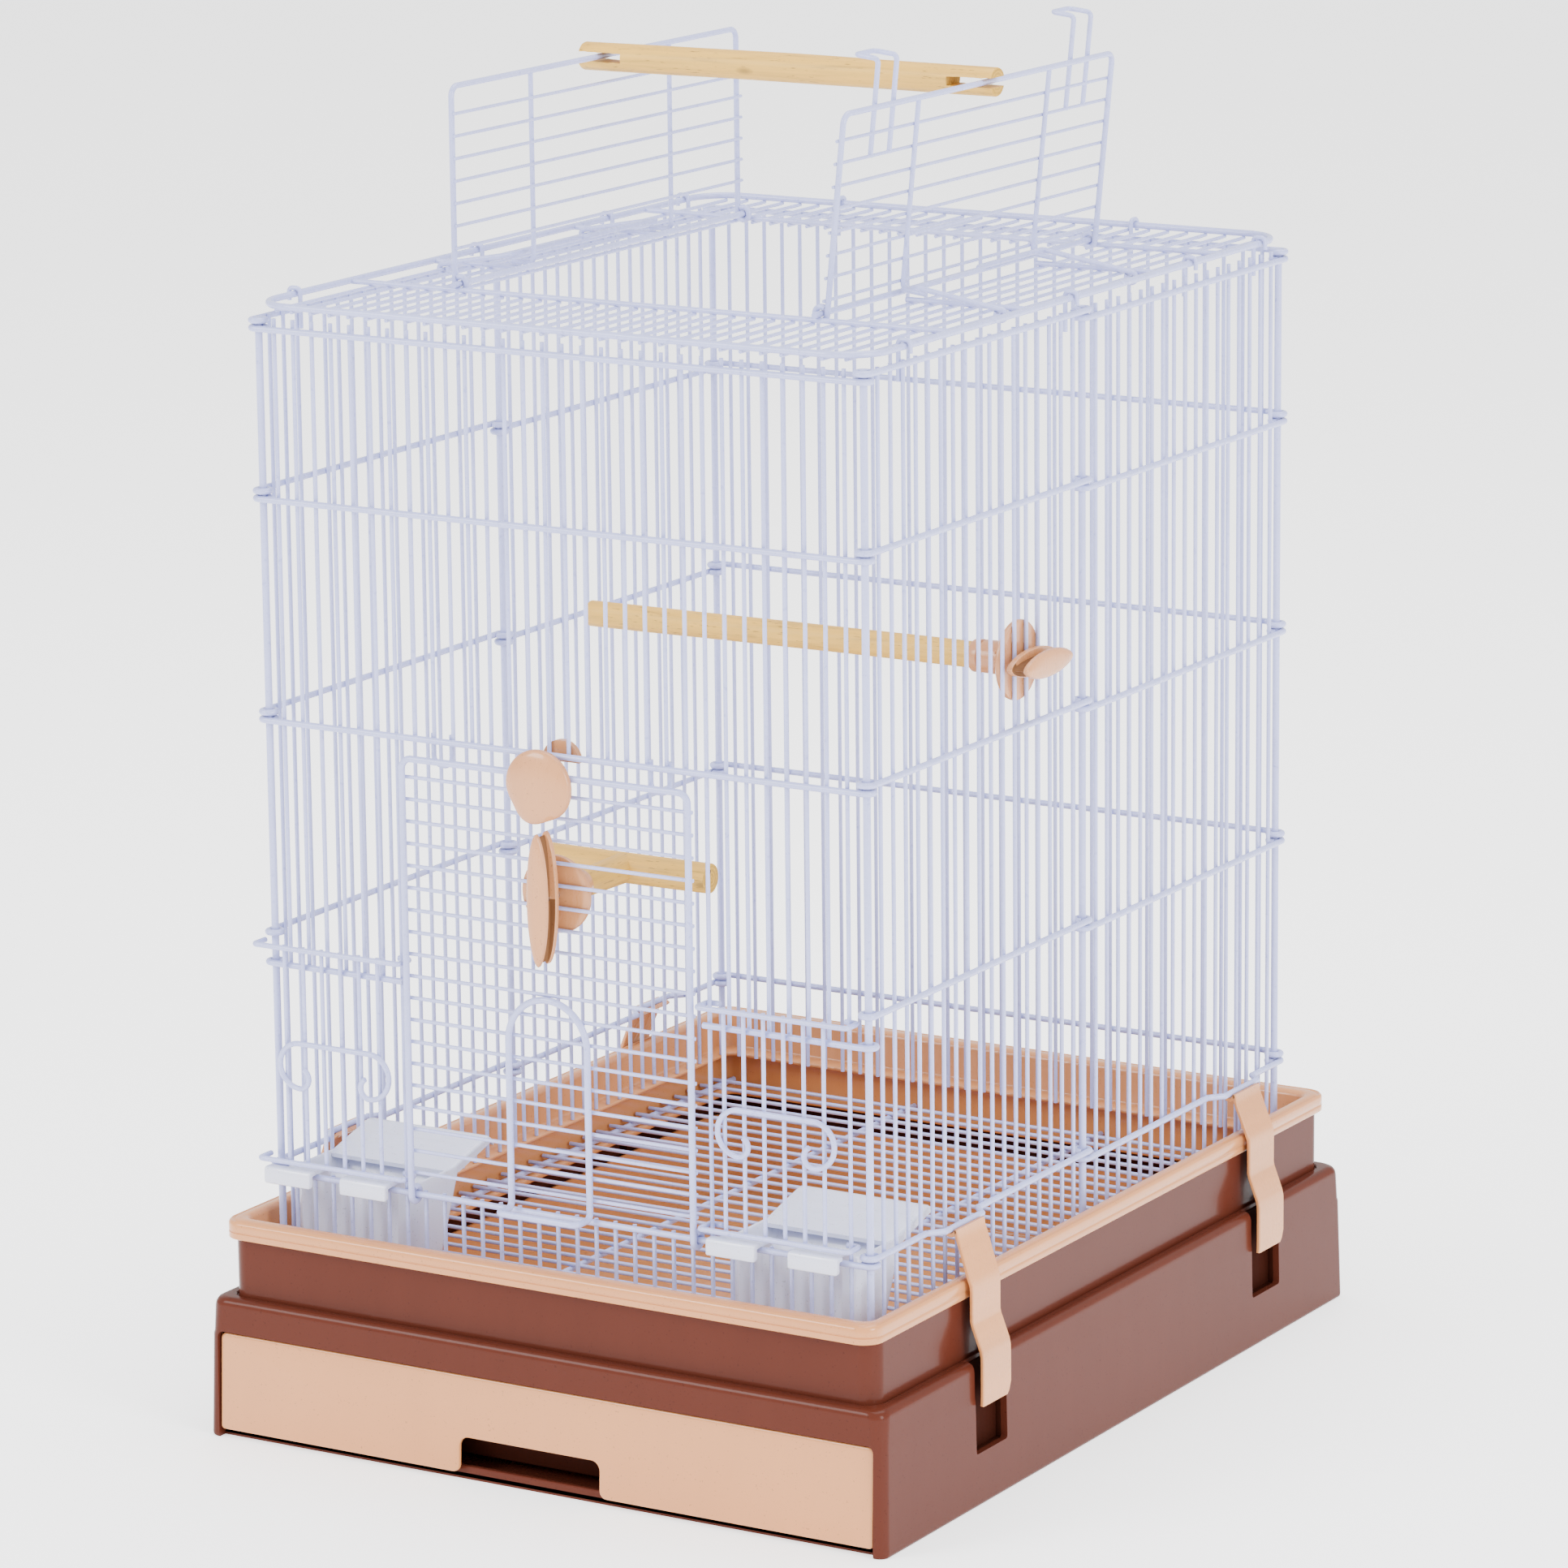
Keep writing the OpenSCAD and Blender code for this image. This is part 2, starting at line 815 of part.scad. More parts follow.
// C-scroll across the door, welded to the front of its bars
module feeder_scroll(span) {
  x0 = bar_x(span[0]) + 8;
  x1 = bar_x(span[1]) - 4;
  y = feeder_bar_y - bar_r - feeder_wire_dia / 2 + weld;
  z = low_rail_z + 66;
  r = 11;
  color(wire_colour) {
    wire([x0 + r, y, z], [x1 - r, y, z], feeder_wire_dia);
    bend([x0 + r, y, z - r], [0, 0, 1], [-1, 0, 0], r, 180, feeder_wire_dia);
    bend([x0 + r, y, z - 2 * r + 5], [0, 0, -1], [1, 0, 0], 5, 150, feeder_wire_dia);
    bend([x1 - r, y, z - r], [0, 0, 1], [1, 0, 0], r, 180, feeder_wire_dia);
    bend([x1 - r, y, z - 2 * r + 5], [0, 0, -1], [-1, 0, 0], 5, 150, feeder_wire_dia);
  }
}

module feeder_left_frame() { feeder_frame(feeder_left_span); }
module feeder_left_bars() { feeder_bars(feeder_left_span); }
module feeder_left_scroll() { feeder_scroll(feeder_left_span); }
module feeder_right_frame() { feeder_frame(feeder_right_span); }
module feeder_right_bars() { feeder_bars(feeder_right_span); }
module feeder_right_scroll() { feeder_scroll(feeder_right_span); }

// --- Cups ---

// Cup with a hood at the back and tabs that hang on the lowest rail; x is its middle.
// A tab is [its middle, and where its neck starts and ends from there].
module cup(x, tabs) {
  y0 = front_y + bar_r + 5;
  low = 76;
  rim = 127;
  top = 136;
  t = 2;
  tab_low = low_rail_z + rail_r + 0.4;
  color(cup_colour)
    translate([x, 0, 0]) {
      difference() {
        cup_block(cup_w, [[y0, low], [y0 + 28, low], [y0 + 46, rim], [y0, rim]]);
        cup_block(cup_w - 2 * t, [
          [y0 + t, low + t], [y0 + 28 - t, low + t], [y0 + 46 - t, rim + 1], [y0 + t, rim + 1]
        ]);
      }
      // hood that rises over the back
      cup_block(cup_w, [
        [y0 + 33, rim - 0.5], [y0 + 45, rim - 1], [y0 + 72, top - 3.5], [y0 + 67, top], [y0 + 33, rim + 1.5]
      ]);
      // each tab: lip in front of the rail, plate over it, neck down to the cup
      for (tab = tabs)
        translate([tab[0] - x, 0, 0]) {
          translate([-13, rail_y - 8.2, tab_low])
            cube([26, 8.2 - rail_r - 0.4, 2.2]);
          translate([-13, rail_y - 8.2, tab_low - 6])
            cube([26, 3, 6.5]);
          translate([tab[1], rail_y - 4, tab_low])
            cube([tab[2] - tab[1], y0 + t - rail_y + 4, 2.2]);
          translate([tab[1], y0, rim - 1])
            cube([tab[2] - tab[1], t, tab_low - rim + 2]);
        }
    }
}

// Block of width w along X over an outline of (y, z)
module cup_block(w, outline) {
  translate([-w / 2, 0, 0])
    rotate([90, 0, 90])
      linear_extrude(w)
        polygon(outline);
}

module cup_left() { cup(-123.75, [[-151, -3, 13], [-108, -13, 13]]); }
module cup_right() { cup(116.25, [[94, -9, 13], [137.5, -13, 10]]); }

// --- Clips ---

// Spring clip rolled round a rail step, its tongue hanging in front of the base
module clip(s, y, z) {
  t = 2.2;
  x = base_w / 2 + 0.5;
  ring = rail_r + eye_gap + t;
  color(tan_colour)
    scale_x(s)
      translate([0, y + clip_w / 2, 0])
        rotate([90, 0, 0])
          linear_extrude(clip_w)
            difference() {
              union() {
                translate([jog_x, z])
                  circle(ring, $fn = 48);
                polygon([
                  [jog_x + ring - t, z], [181, 104.7], [181, 86], [x, 72], [x, 48],
                  [x + t, 48], [x + t, 72.5], [183.2, 86.5], [183.2, 104], [jog_x + ring, z]
                ]);
              }
              translate([jog_x, z])
                circle(ring - t, $fn = 48);
            }
}

module scale_x(s) {
  if (s < 0)
    mirror([1, 0, 0])
      children();
  else
    children();
}

module clip_front_left() { clip(-1, slot_y[0], low_rail_z + stack); }
module clip_front_right() { clip(1, slot_y[0], low_rail_z + stack); }
module clip_rear_left() { clip(-1, slot_y[1], low_rail_z); }
module clip_rear_right() { clip(1, slot_y[1], low_rail_z); }

// --- Flaps and stays ---

// Places a shape drawn upright round the rod at x = 0, z = 0 on the left or right rod
module on_rod(s) {
  translate([s > 0 ? right_rod_x : left_rod_x, 0, rod_z])
    rotate([0, s > 0 ? flap_lean : 0, 0])
      children();
}

module flap_frame(s) {
  x = s * flap_eye_r;
  color(wire_colour)
    on_rod(s) {
      bent_wire([
        [x, flap_y[0], 0], [x, flap_y[0], flap_h],
        [x, flap_y[1], flap_h], [x, flap_y[1], 0]
      ], flap_corner_r, flap_dia);
      for (y = flap_y)
        bend([0, y, 0], [s, 0, 0], [0, 0, -1], flap_eye_r, 300, flap_dia);
    }
}

module flap_wires(s) {
  x = s * flap_eye_r;
  fine_x = x - s * (flap_dia / 2 + flap_fine_dia / 2 - weld);
  // the leaning flap's feet are bent up by as much as the lean lowers them
  foot_z = cross_z + cross_dia / 2 + 1.6 - rod_z + (s > 0 ? 1.9 : 0);
  rows = s > 0 ? flap_rows_right : flap_rows_left;
  color(wire_colour)
    on_rod(s) {
      for (i = [0 : rows - 1]) {
        z = flap_h - flap_top_gap - i * flap_row_gap;
        wire([fine_x, flap_y[0] - 1, z], [fine_x, flap_y[1] + 1, z], flap_fine_dia);
      }
      // uprights whose feet bend out over the roof
      for (y = short_cross_y)
        bent_wire([[x, y, flap_h], [x, y, foot_z], [x + s * 12, y, foot_z]], 3, 2.4);
    }
}

// Hairpin hooks that reach over the other flap when the roof is shut
module flap_right_hooks() {
  x = flap_eye_r - 2.6;
  top = flap_h + 21.5;
  low = flap_h - flap_top_gap - flap_row_gap - 0.8;
  color(wire_colour)
    on_rod(1)
      for (y = hook_y)
        bent_wire([
          [x, y, low], [x, y, top], [x - 12, y, top],
          [x - 12, y + 17, top], [x, y + 17, top], [x, y + 17, low]
        ], 2.5, 2.4);
}

module flap_left_frame() { flap_frame(-1); }
module flap_left_wires() { flap_wires(-1); }
module flap_right_frame() { flap_frame(1); }
module flap_right_wires() { flap_wires(1); }

// Bail on the outermost roof bar, its cross bar lying over the feet of the flap
module stay(s) {
  side = s > 0 ? 1 : 0;
  over = -s * stay_reach[side];
  lift = stay_eye_r;
  mid = (stay_y[0] + stay_y[1]) / 2;
  color(wire_colour)
    translate([s * stay_x, 0, roof_bar_z])
      rotate([0, s * stay_tilt[side], 0]) {
        bent_wire([
          [0, stay_y[0], lift], [over, stay_y[0], lift],
          [over, mid, lift], [over - s * 3.4, mid, lift],
          [over - s * 3.4, stay_y[1], lift], [0, stay_y[1], lift]
        ], 1.5, stay_dia);
        for (y = stay_y)
          bend([0, y, 0], [0, 0, 1], [s, 0, 0], lift, 290, stay_dia);
      }
}

module stay_left() { stay(-1); }
module stay_right() { stay(1); }

// Perch across the roof, slotted at both ends to grip the flaps' top wires
module top_perch() {
  x0 = flap_top_left[0] - 10;
  x1 = flap_top_right[0] + 5.5;
  z = (flap_top_left[1] + flap_top_right[1]) / 2;
  slot = flap_dia + 1.8;
  color(wood_colour)
    difference() {
      translate([x0, top_perch_y, z])
        rotate([0, 90, 0])
          cylinder(d = top_perch_dia, h = x1 - x0);
      translate([x0 - 1, top_perch_y - 15, flap_top_left[1] - slot / 2])
        cube([25, 30, slot]);
      translate([x1 - 24, top_perch_y - 15, flap_top_right[1] - slot / 2])
        cube([25, 30, slot]);
    }
}

base_shell();
rim_collar();
grate_wires();
grate_frame();
drawer();
corner_posts();
mid_posts();
front_bars();
front_rails();
back_bars();
back_rails();
left_front_bars();
left_front_rails();
left_rear_bars();
left_rear_rails();
right_front_bars();
right_front_rails();
right_rear_bars();
right_rear_rails();
door_stops();
lock_keeper();
roof_frame();
roof_bars();
roof_cross_wires();
flap_rods();
roof_clips();
upper_perch();
upper_perch_flange();
upper_perch_bolt();
upper_perch_nut();
door_frame();
door_wires();
door_arch();
door_perch();
door_perch_flange();
door_perch_bolt();
door_perch_nut();
door_lock_plate();
door_knob();
feeder_left_frame();
feeder_left_bars();
feeder_left_scroll();
feeder_right_frame();
feeder_right_bars();
feeder_right_scroll();
cup_left();
cup_right();
clip_front_left();
clip_front_right();
clip_rear_left();
clip_rear_right();
flap_left_frame();
flap_left_wires();
flap_right_frame();
flap_right_wires();
flap_right_hooks();
stay_left();
stay_right();
top_perch();
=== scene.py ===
"""Play-top bird cage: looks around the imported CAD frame. Shapes are in mm until they become meshes."""
import json
import math
import random

import bmesh
import bpy
from mathutils import Matrix, Vector


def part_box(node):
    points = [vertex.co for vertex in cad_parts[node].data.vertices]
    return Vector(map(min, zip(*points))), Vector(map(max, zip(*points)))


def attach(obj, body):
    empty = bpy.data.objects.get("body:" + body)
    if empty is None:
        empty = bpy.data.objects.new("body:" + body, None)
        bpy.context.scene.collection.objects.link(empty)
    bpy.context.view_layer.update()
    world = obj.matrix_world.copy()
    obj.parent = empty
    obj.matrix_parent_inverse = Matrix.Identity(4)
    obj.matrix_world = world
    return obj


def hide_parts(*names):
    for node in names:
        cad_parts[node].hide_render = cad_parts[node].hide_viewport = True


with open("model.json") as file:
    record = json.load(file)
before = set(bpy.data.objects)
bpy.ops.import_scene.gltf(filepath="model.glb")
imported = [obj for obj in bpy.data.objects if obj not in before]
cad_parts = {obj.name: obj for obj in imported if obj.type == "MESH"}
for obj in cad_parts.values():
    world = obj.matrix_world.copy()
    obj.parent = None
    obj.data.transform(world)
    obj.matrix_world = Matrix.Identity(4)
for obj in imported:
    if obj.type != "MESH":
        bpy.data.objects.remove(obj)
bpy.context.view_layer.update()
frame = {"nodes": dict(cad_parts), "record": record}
MM = 0.001


# --- Camera and light, in metres ---

AZIMUTH, ELEVATION, ROLL = math.radians(30.99), math.radians(12.94), math.radians(-0.61)
DISTANCE, TARGET = 3.331, Vector((0, 0, 0.2918))
FOCAL_PX, IMAGE_PX, SHIFT_PX = 8515, 1932, (-3.9, -0.3)
SENSOR_MM, CLIP_END = 36, 50
# name, place, aim, size, watts
LIGHTS = (
    ("key", (-1.7, -2.6, 2.0), (0, 0, 0.3), (1.4, 1.4), 95),
    ("fill", (2.8, -0.9, 1.3), (0, 0, 0.25), (1.0, 1.6), 80),
    ("top", (0.2, 0.5, 3.0), (0, 0, 0.2), (2.2, 2.2), 85))
WORLD_STRENGTH = 1.5


def add_camera():
    ahead = Vector((-math.sin(AZIMUTH) * math.cos(ELEVATION),
                    math.cos(AZIMUTH) * math.cos(ELEVATION), -math.sin(ELEVATION)))
    side = ahead.cross(Vector((0, 0, 1))).normalized()
    up = side.cross(ahead)
    side, up = (math.cos(ROLL) * side + math.sin(ROLL) * up,
                math.cos(ROLL) * up - math.sin(ROLL) * side)
    data = bpy.data.cameras.new("camera")
    data.sensor_width = SENSOR_MM
    data.lens = FOCAL_PX / IMAGE_PX * SENSOR_MM
    data.shift_x = SHIFT_PX[0] / IMAGE_PX
    data.shift_y = SHIFT_PX[1] / IMAGE_PX
    data.clip_end = CLIP_END
    camera = bpy.data.objects.new("camera", data)
    turn = Matrix((side, up, -ahead)).transposed().to_4x4()
    camera.matrix_world = Matrix.Translation(TARGET - ahead * DISTANCE) @ turn
    bpy.context.scene.collection.objects.link(camera)
    bpy.context.scene.camera = camera


def add_light(name, place, aim, size, power):
    data = bpy.data.lights.new(name, "AREA")
    data.shape = "RECTANGLE"
    data.size, data.size_y = size
    data.energy = power
    lamp = bpy.data.objects.new(name, data)
    lamp.location = place
    lamp.rotation_euler = (Vector(aim) - Vector(place)).to_track_quat("-Z", "Y").to_euler()
    bpy.context.scene.collection.objects.link(lamp)


add_camera()
for light in LIGHTS:
    add_light(*light)

world = bpy.data.worlds.new("studio")
bpy.context.scene.world = world
world.use_nodes = True
world.node_tree.nodes["Background"].inputs["Color"].default_value = (1, 1, 1, 1)
world.node_tree.nodes["Background"].inputs["Strength"].default_value = WORLD_STRENGTH


# --- Materials ---

class Paint:
    """A Principled material and short ways to add nodes to it."""

    def __init__(self, name, rough=0.4, coat=0.0, coat_rough=0.08, level=0.5, glow=0.0):
        self.mat = bpy.data.materials.new(name)
        self.mat.use_nodes = True
        self.nodes = self.mat.node_tree.nodes
        self.links = self.mat.node_tree.links
        self.bsdf = self.nodes["Principled BSDF"]
        self.set("Roughness", rough)
        self.set("Coat Weight", coat)
        self.set("Coat Roughness", coat_rough)
        self.set("Specular IOR Level", level)
        if glow:
            self.set("Subsurface Weight", glow)
            self.set("Subsurface Radius", (1.0, 0.6, 0.4))
            self.set("Subsurface Scale", 0.002)
        self.spot = self.nodes.new("ShaderNodeTexCoord").outputs["Object"]

    def set(self, socket, value):
        self.bsdf.inputs[socket].default_value = value

    def noise(self, scale, stretch=(1, 1, 1), detail=3, rough=0.55, distort=0.0):
        tex = self.texture("ShaderNodeTexNoise", scale, stretch)
        tex.inputs["Detail"].default_value = detail
        tex.inputs["Roughness"].default_value = rough
        tex.inputs["Distortion"].default_value = distort
        return tex.outputs["Fac"]

    def cells(self, scale, stretch=(1, 1, 1)):
        return self.texture("ShaderNodeTexVoronoi", scale, stretch).outputs["Distance"]

    def texture(self, kind, scale, stretch):
        mapping = self.nodes.new("ShaderNodeMapping")
        mapping.inputs["Scale"].default_value = stretch
        tex = self.nodes.new(kind)
        tex.inputs["Scale"].default_value = scale
        self.links.new(self.spot, mapping.inputs["Vector"])
        self.links.new(mapping.outputs["Vector"], tex.inputs["Vector"])
        return tex

    def ramp(self, factor, stops):
        node = self.nodes.new("ShaderNodeValToRGB")
        bar = node.color_ramp.elements
        while len(bar) < len(stops):
            bar.new(0.5)
        for element, (place, colour) in zip(bar, stops):
            element.position = place
            element.color = (*colour, 1)
        self.links.new(factor, node.inputs["Fac"])
        return node.outputs["Color"]

    def mix(self, factor, a, b, blend="MIX"):
        node = self.nodes.new("ShaderNodeMix")
        node.data_type = "RGBA"
        node.blend_type = blend
        for socket, value in ((node.inputs[0], factor), (node.inputs[6], a), (node.inputs[7], b)):
            if isinstance(value, (int, float)):
                socket.default_value = value
            elif isinstance(value, tuple):
                socket.default_value = (*value, 1)
            else:
                self.links.new(value, socket)
        return node.outputs[2]

    def spread(self, factor, low, high):
        node = self.nodes.new("ShaderNodeMapRange")
        node.inputs["To Min"].default_value = low
        node.inputs["To Max"].default_value = high
        self.links.new(factor, node.inputs["Value"])
        return node.outputs["Result"]

    def finish(self, colour, rough=None, bumps=()):
        """bumps are (height, strength, distance) from the coarsest to the finest"""
        self.links.new(colour, self.bsdf.inputs["Base Color"])
        if rough:
            self.links.new(rough, self.bsdf.inputs["Roughness"])
        normal = None
        for height, strength, distance in bumps:
            node = self.nodes.new("ShaderNodeBump")
            node.inputs["Strength"].default_value = strength
            node.inputs["Distance"].default_value = distance
            self.links.new(height, node.inputs["Height"])
            if normal:
                self.links.new(normal, node.inputs["Normal"])
            normal = node.outputs["Normal"]
        if normal:
            self.links.new(normal, self.bsdf.inputs["Normal"])
        return self.mat


WHITE, BLACK = (1, 1, 1), (0, 0, 0)


def tinted(colour, factor):
    return tuple(min(1.0, c * factor) for c in colour)


def stretched(axis, share):
    """Scale that draws a pattern out along one axis"""
    scale = [1.0, 1.0, 1.0]
    scale[axis] = share
    return scale


def plastic(name, colour, rough, coat, streak, streaks, level=0.5, glow=0.0):
    """Moulded plastic: slight colour drift, flow streaks, dust specks, faint orange peel and scuffs"""
    p = Paint(name, rough, coat, 0.06, level, glow)
    drift = p.ramp(p.noise(9, detail=2), [(0.3, tinted(colour, 0.94)), (0.7, tinted(colour, 1.05))])
    flow = p.ramp(p.noise(70, streak, 4),
                  [(0.35, tinted(colour, 1 - streaks)), (0.65, tinted(colour, 1 + streaks))])
    body = p.mix(0.5, drift, flow)
    specks = p.ramp(p.noise(900, detail=1), [(0.0, WHITE), (0.27, WHITE), (0.3, BLACK), (1.0, BLACK)])
    body = p.mix(specks, body, tinted(colour, 0.7))
    wear = p.noise(140, (1, 1, 0.3), 5, 0.7)
    return p.finish(body, p.spread(wear, rough * 0.7, rough * 1.5),
                    [(p.noise(160, detail=2), 0.05, 0.0004), (wear, 0.04, 0.0002)])


def coated_wire(name, colour):
    """Dipped white coat: runs and thick spots along the wire, fine grain, a few greyer patches"""
    p = Paint(name, 0.3, 0.35, 0.1, 0.4)
    patches = p.ramp(p.noise(38, detail=3), [(0.3, tinted(colour, 0.93)), (0.62, colour)])
    grime = p.ramp(p.noise(330, detail=4, rough=0.65),
                   [(0.0, tinted(colour, 0.62)), (0.3, tinted(colour, 0.86)), (0.4, WHITE)])
    body = p.mix(0.35, patches, grime, "MULTIPLY")
    return p.finish(body, p.spread(p.noise(210, detail=3), 0.16, 0.36),
                    [(p.noise(120, detail=2), 0.35, 0.0005), (p.noise(1500, detail=2), 0.12, 0.0001)])


def wood(name, tone, axis):
    """Turned stick: long fibres, darker pores, a few knots and brown specks"""
    p = Paint(name, 0.5, 0.12, 0.3, 0.35)
    along = stretched(axis, 0.05)
    fibre = p.noise(420, along, 6, 0.6, 0.4)
    body = p.ramp(fibre, [(0.28, tinted(tone, 0.68)), (0.45, tone), (0.7, tinted(tone, 1.16))])
    broad = p.ramp(p.noise(45, along, 3), [(0.3, (0.86, 0.8, 0.7)), (0.65, WHITE)])
    body = p.mix(0.75, body, broad, "MULTIPLY")
    pores = p.ramp(p.noise(1300, stretched(axis, 0.12), 2), [(0.0, WHITE), (0.29, WHITE), (0.36, BLACK)])
    body = p.mix(pores, body, tinted(tone, 0.42))
    knots = p.ramp(p.cells(55, stretched(axis, 0.45)), [(0.0, WHITE), (0.07, (0.8, 0.8, 0.8)), (0.15, BLACK)])
    body = p.mix(knots, body, tinted(tone, 0.38))
    return p.finish(body, p.spread(fibre, 0.42, 0.7), [(fibre, 0.3, 0.0005), (pores, -0.3, 0.0004)])


def end_grain(name, tone, axis):
    """Cut end of a stick: growth rings round its own axis, which runs through the piece's origin"""
    p = Paint(name, 0.75, 0.0, 0.3, 0.2)
    wave = p.nodes.new("ShaderNodeTexWave")
    wave.wave_type = "RINGS"
    wave.rings_direction = "XYZ"[axis]
    wave.inputs["Scale"].default_value = 170
    wave.inputs["Distortion"].default_value = 2.5
    wave.inputs["Detail"].default_value = 3
    wave.inputs["Detail Scale"].default_value = 2
    p.links.new(p.spot, wave.inputs["Vector"])
    rings = p.ramp(wave.outputs["Fac"], [(0.2, tinted(tone, 0.7)), (0.8, tinted(tone, 1.05))])
    torn = p.noise(1400, detail=5, rough=0.7)
    body = p.mix(0.4, rings, p.ramp(torn, [(0.3, tinted(tone, 0.5)), (0.6, tinted(tone, 1.15))]))
    return p.finish(body, None, [(torn, 0.8, 0.0006)])


def steel(name):
    p = Paint(name, 0.3)
    p.set("Metallic", 1.0)
    lines = p.noise(500, (1, 1, 14), 3)
    body = p.ramp(lines, [(0.3, (0.42, 0.42, 0.44)), (0.7, (0.66, 0.66, 0.68))])
    return p.finish(body, p.spread(lines, 0.22, 0.42), [(lines, 0.2, 0.0002)])


BROWN = (0.078, 0.0185, 0.0105)
TAN = (0.57, 0.235, 0.085)
HOLDER = (0.54, 0.24, 0.10)
WOOD = (0.66, 0.38, 0.06)
WIRE = (0.42, 0.45, 0.75)
CUP = (0.66, 0.68, 0.82)
UPRIGHT_STREAK, HOLDER_STREAK, CLIP_STREAK = (1, 1, 0.2), (1, 1, 0.15), (0.6, 0.05, 1)

brown = plastic("brown_plastic", BROWN, 0.2, 0.08, UPRIGHT_STREAK, 0.04, level=0.06)
# painted shade: the base's brown at 0.35 of its tone, for the clip recesses and the drawer's finger pocket;
# the same dark brown is also the perch's real dark pith
shade_and_pith_brown = plastic("brown_plastic_painted_shade_and_pith", tinted(BROWN, 0.35), 0.6, 0.0, UPRIGHT_STREAK, 0.08, level=0.02)
tan = plastic("tan_plastic", TAN, 0.2, 0.35, UPRIGHT_STREAK, 0.03, level=0.3)
clip_tan = plastic("clip_plastic", tinted(TAN, 1.02), 0.24, 0.4, CLIP_STREAK, 0.12, level=0.3)
holder = plastic("holder_plastic", HOLDER, 0.24, 0.35, HOLDER_STREAK, 0.05, level=0.3)
# painted shade: holder plastic at 0.3 of its tone, for the faces inside the wing nuts' slit
holder_slit_painted_shade = plastic("holder_plastic_painted_shade", tinted(HOLDER, 0.3), 0.5, 0.0, HOLDER_STREAK, 0.06,
                        level=0.05)
cup_white = plastic("cup_plastic", CUP, 0.22, 0.4, UPRIGHT_STREAK, 0.015, glow=0.1)
wire_coat = coated_wire("coated_wire", WIRE)
wood_x = wood("perch_wood", WOOD, 0)
wood_y = wood("perch_wood_stem", tinted(WOOD, 0.92), 1)
wood_cut = end_grain("perch_end_grain", tinted(WOOD, 0.85), 0)
bolt_steel = steel("bolt_steel")


# --- Mesh helpers ---

def settle(obj):
    """Makes the piece's modifiers part of its mesh."""
    graph = bpy.context.evaluated_depsgraph_get()
    mesh = bpy.data.meshes.new_from_object(obj.evaluated_get(graph))
    obj.modifiers.clear()
    obj.data = mesh


def make(name, verts, faces, mat, centre=(0, 0, 0), turn=None, crease=38, round_edge=0.0):
    """verts are in mm about centre; turn is a rotation done first"""
    mesh = bpy.data.meshes.new(name)
    spin = turn or Matrix.Identity(3)
    mesh.from_pydata([spin @ (Vector(v) * MM) for v in verts], [], faces)
    mesh.validate()
    work = bmesh.new()
    work.from_mesh(mesh)
    bmesh.ops.remove_doubles(work, verts=work.verts, dist=1e-6)
    bmesh.ops.recalc_face_normals(work, faces=work.faces)
    work.to_mesh(mesh)
    work.free()
    obj = bpy.data.objects.new(name, mesh)
    obj.location = Vector(centre) * MM
    bpy.context.scene.collection.objects.link(obj)
    mesh.materials.append(mat)
    if round_edge:
        bevel_edges(obj, round_edge)
    smooth(obj, crease)
    return obj


def bevel_edges(obj, width, angle=35):
    bevel = obj.modifiers.new("bevel", "BEVEL")
    bevel.width = width * MM
    bevel.segments = 2
    bevel.limit_method = "ANGLE"
    bevel.angle_limit = math.radians(angle)
    bevel.use_clamp_overlap = True
    settle(obj)


def smooth(obj, crease):
    """Shades smooth, apart from edges sharper than crease, in degrees"""
    obj.data.polygons.foreach_set("use_smooth", [True] * len(obj.data.polygons))
    obj.data.set_sharp_from_angle(angle=math.radians(crease))


def even_normals(obj):
    """Lets large flat faces rule the shading of the small ones round them."""
    weigh = obj.modifiers.new("weigh", "WEIGHTED_NORMAL")
    weigh.keep_sharp = True
    weigh.weight = 100
    settle(obj)


def cut(obj, cutter):
    tool = obj.modifiers.new("cut", "BOOLEAN")
    tool.operation = "DIFFERENCE"
    tool.solver = "EXACT"
    tool.object = cutter
    settle(obj)
    bpy.data.objects.remove(cutter)


def arc(cx, cy, r, start, end, steps):
    return [(cx + r * math.cos(math.radians(start + (end - start) * k / steps)),
             cy + r * math.sin(math.radians(start + (end - start) * k / steps))) for k in range(steps + 1)]


def rounded(w, d, r, z, steps=8):
    """Rounded rectangle of half sizes w and d at height z"""
    points = []
    for cx, cy, start in ((w - r, d - r, 0), (r - w, d - r, 90), (r - w, r - d, 180), (w - r, r - d, 270)):
        for k in range(steps + 1):
            a = math.radians(start + 90 * k / steps)
            points.append((cx + r * math.cos(a), cy + r * math.sin(a), z))
    return points


def skin(rings, wrap=False, cap_first=False, cap_last=False):
    """Faces between rings of equal length"""
    n = len(rings[0])
    verts = [p for r in rings for p in r]
    faces = []
    for i in range(len(rings) - (0 if wrap else 1)):
        a, b = i * n, (i + 1) % len(rings) * n
        faces += [(a + k, a + (k + 1) % n, b + (k + 1) % n, b + k) for k in range(n)]
    if cap_first:
        faces.append(tuple(reversed(range(n))))
    if cap_last:
        faces.append(tuple(range(len(verts) - n, len(verts))))
    return verts, faces


def solid(rings):
    """Closed shape through rings of equal length, capped at both ends"""
    return skin(rings, cap_first=True, cap_last=True)


def prism(outline, low, high):
    """Straight prism along Z over an outline of (x, y)"""
    return solid([[(x, y, z) for x, y in outline] for z in (low, high)])


def crown(outline, levels):
    """Closed shell over a star-shaped outline of (x, y): rings scaled by (sx, sy) at each height"""
    verts, faces = skin([[(x * sx, y * sy, z) for x, y in outline] for sx, sy, z in levels], cap_first=True)
    n, last = len(outline), len(verts) - len(outline)
    verts.append((0, 0, levels[-1][2]))
    faces += [(last + k, last + (k + 1) % n, len(verts) - 1) for k in range(n)]
    return verts, faces


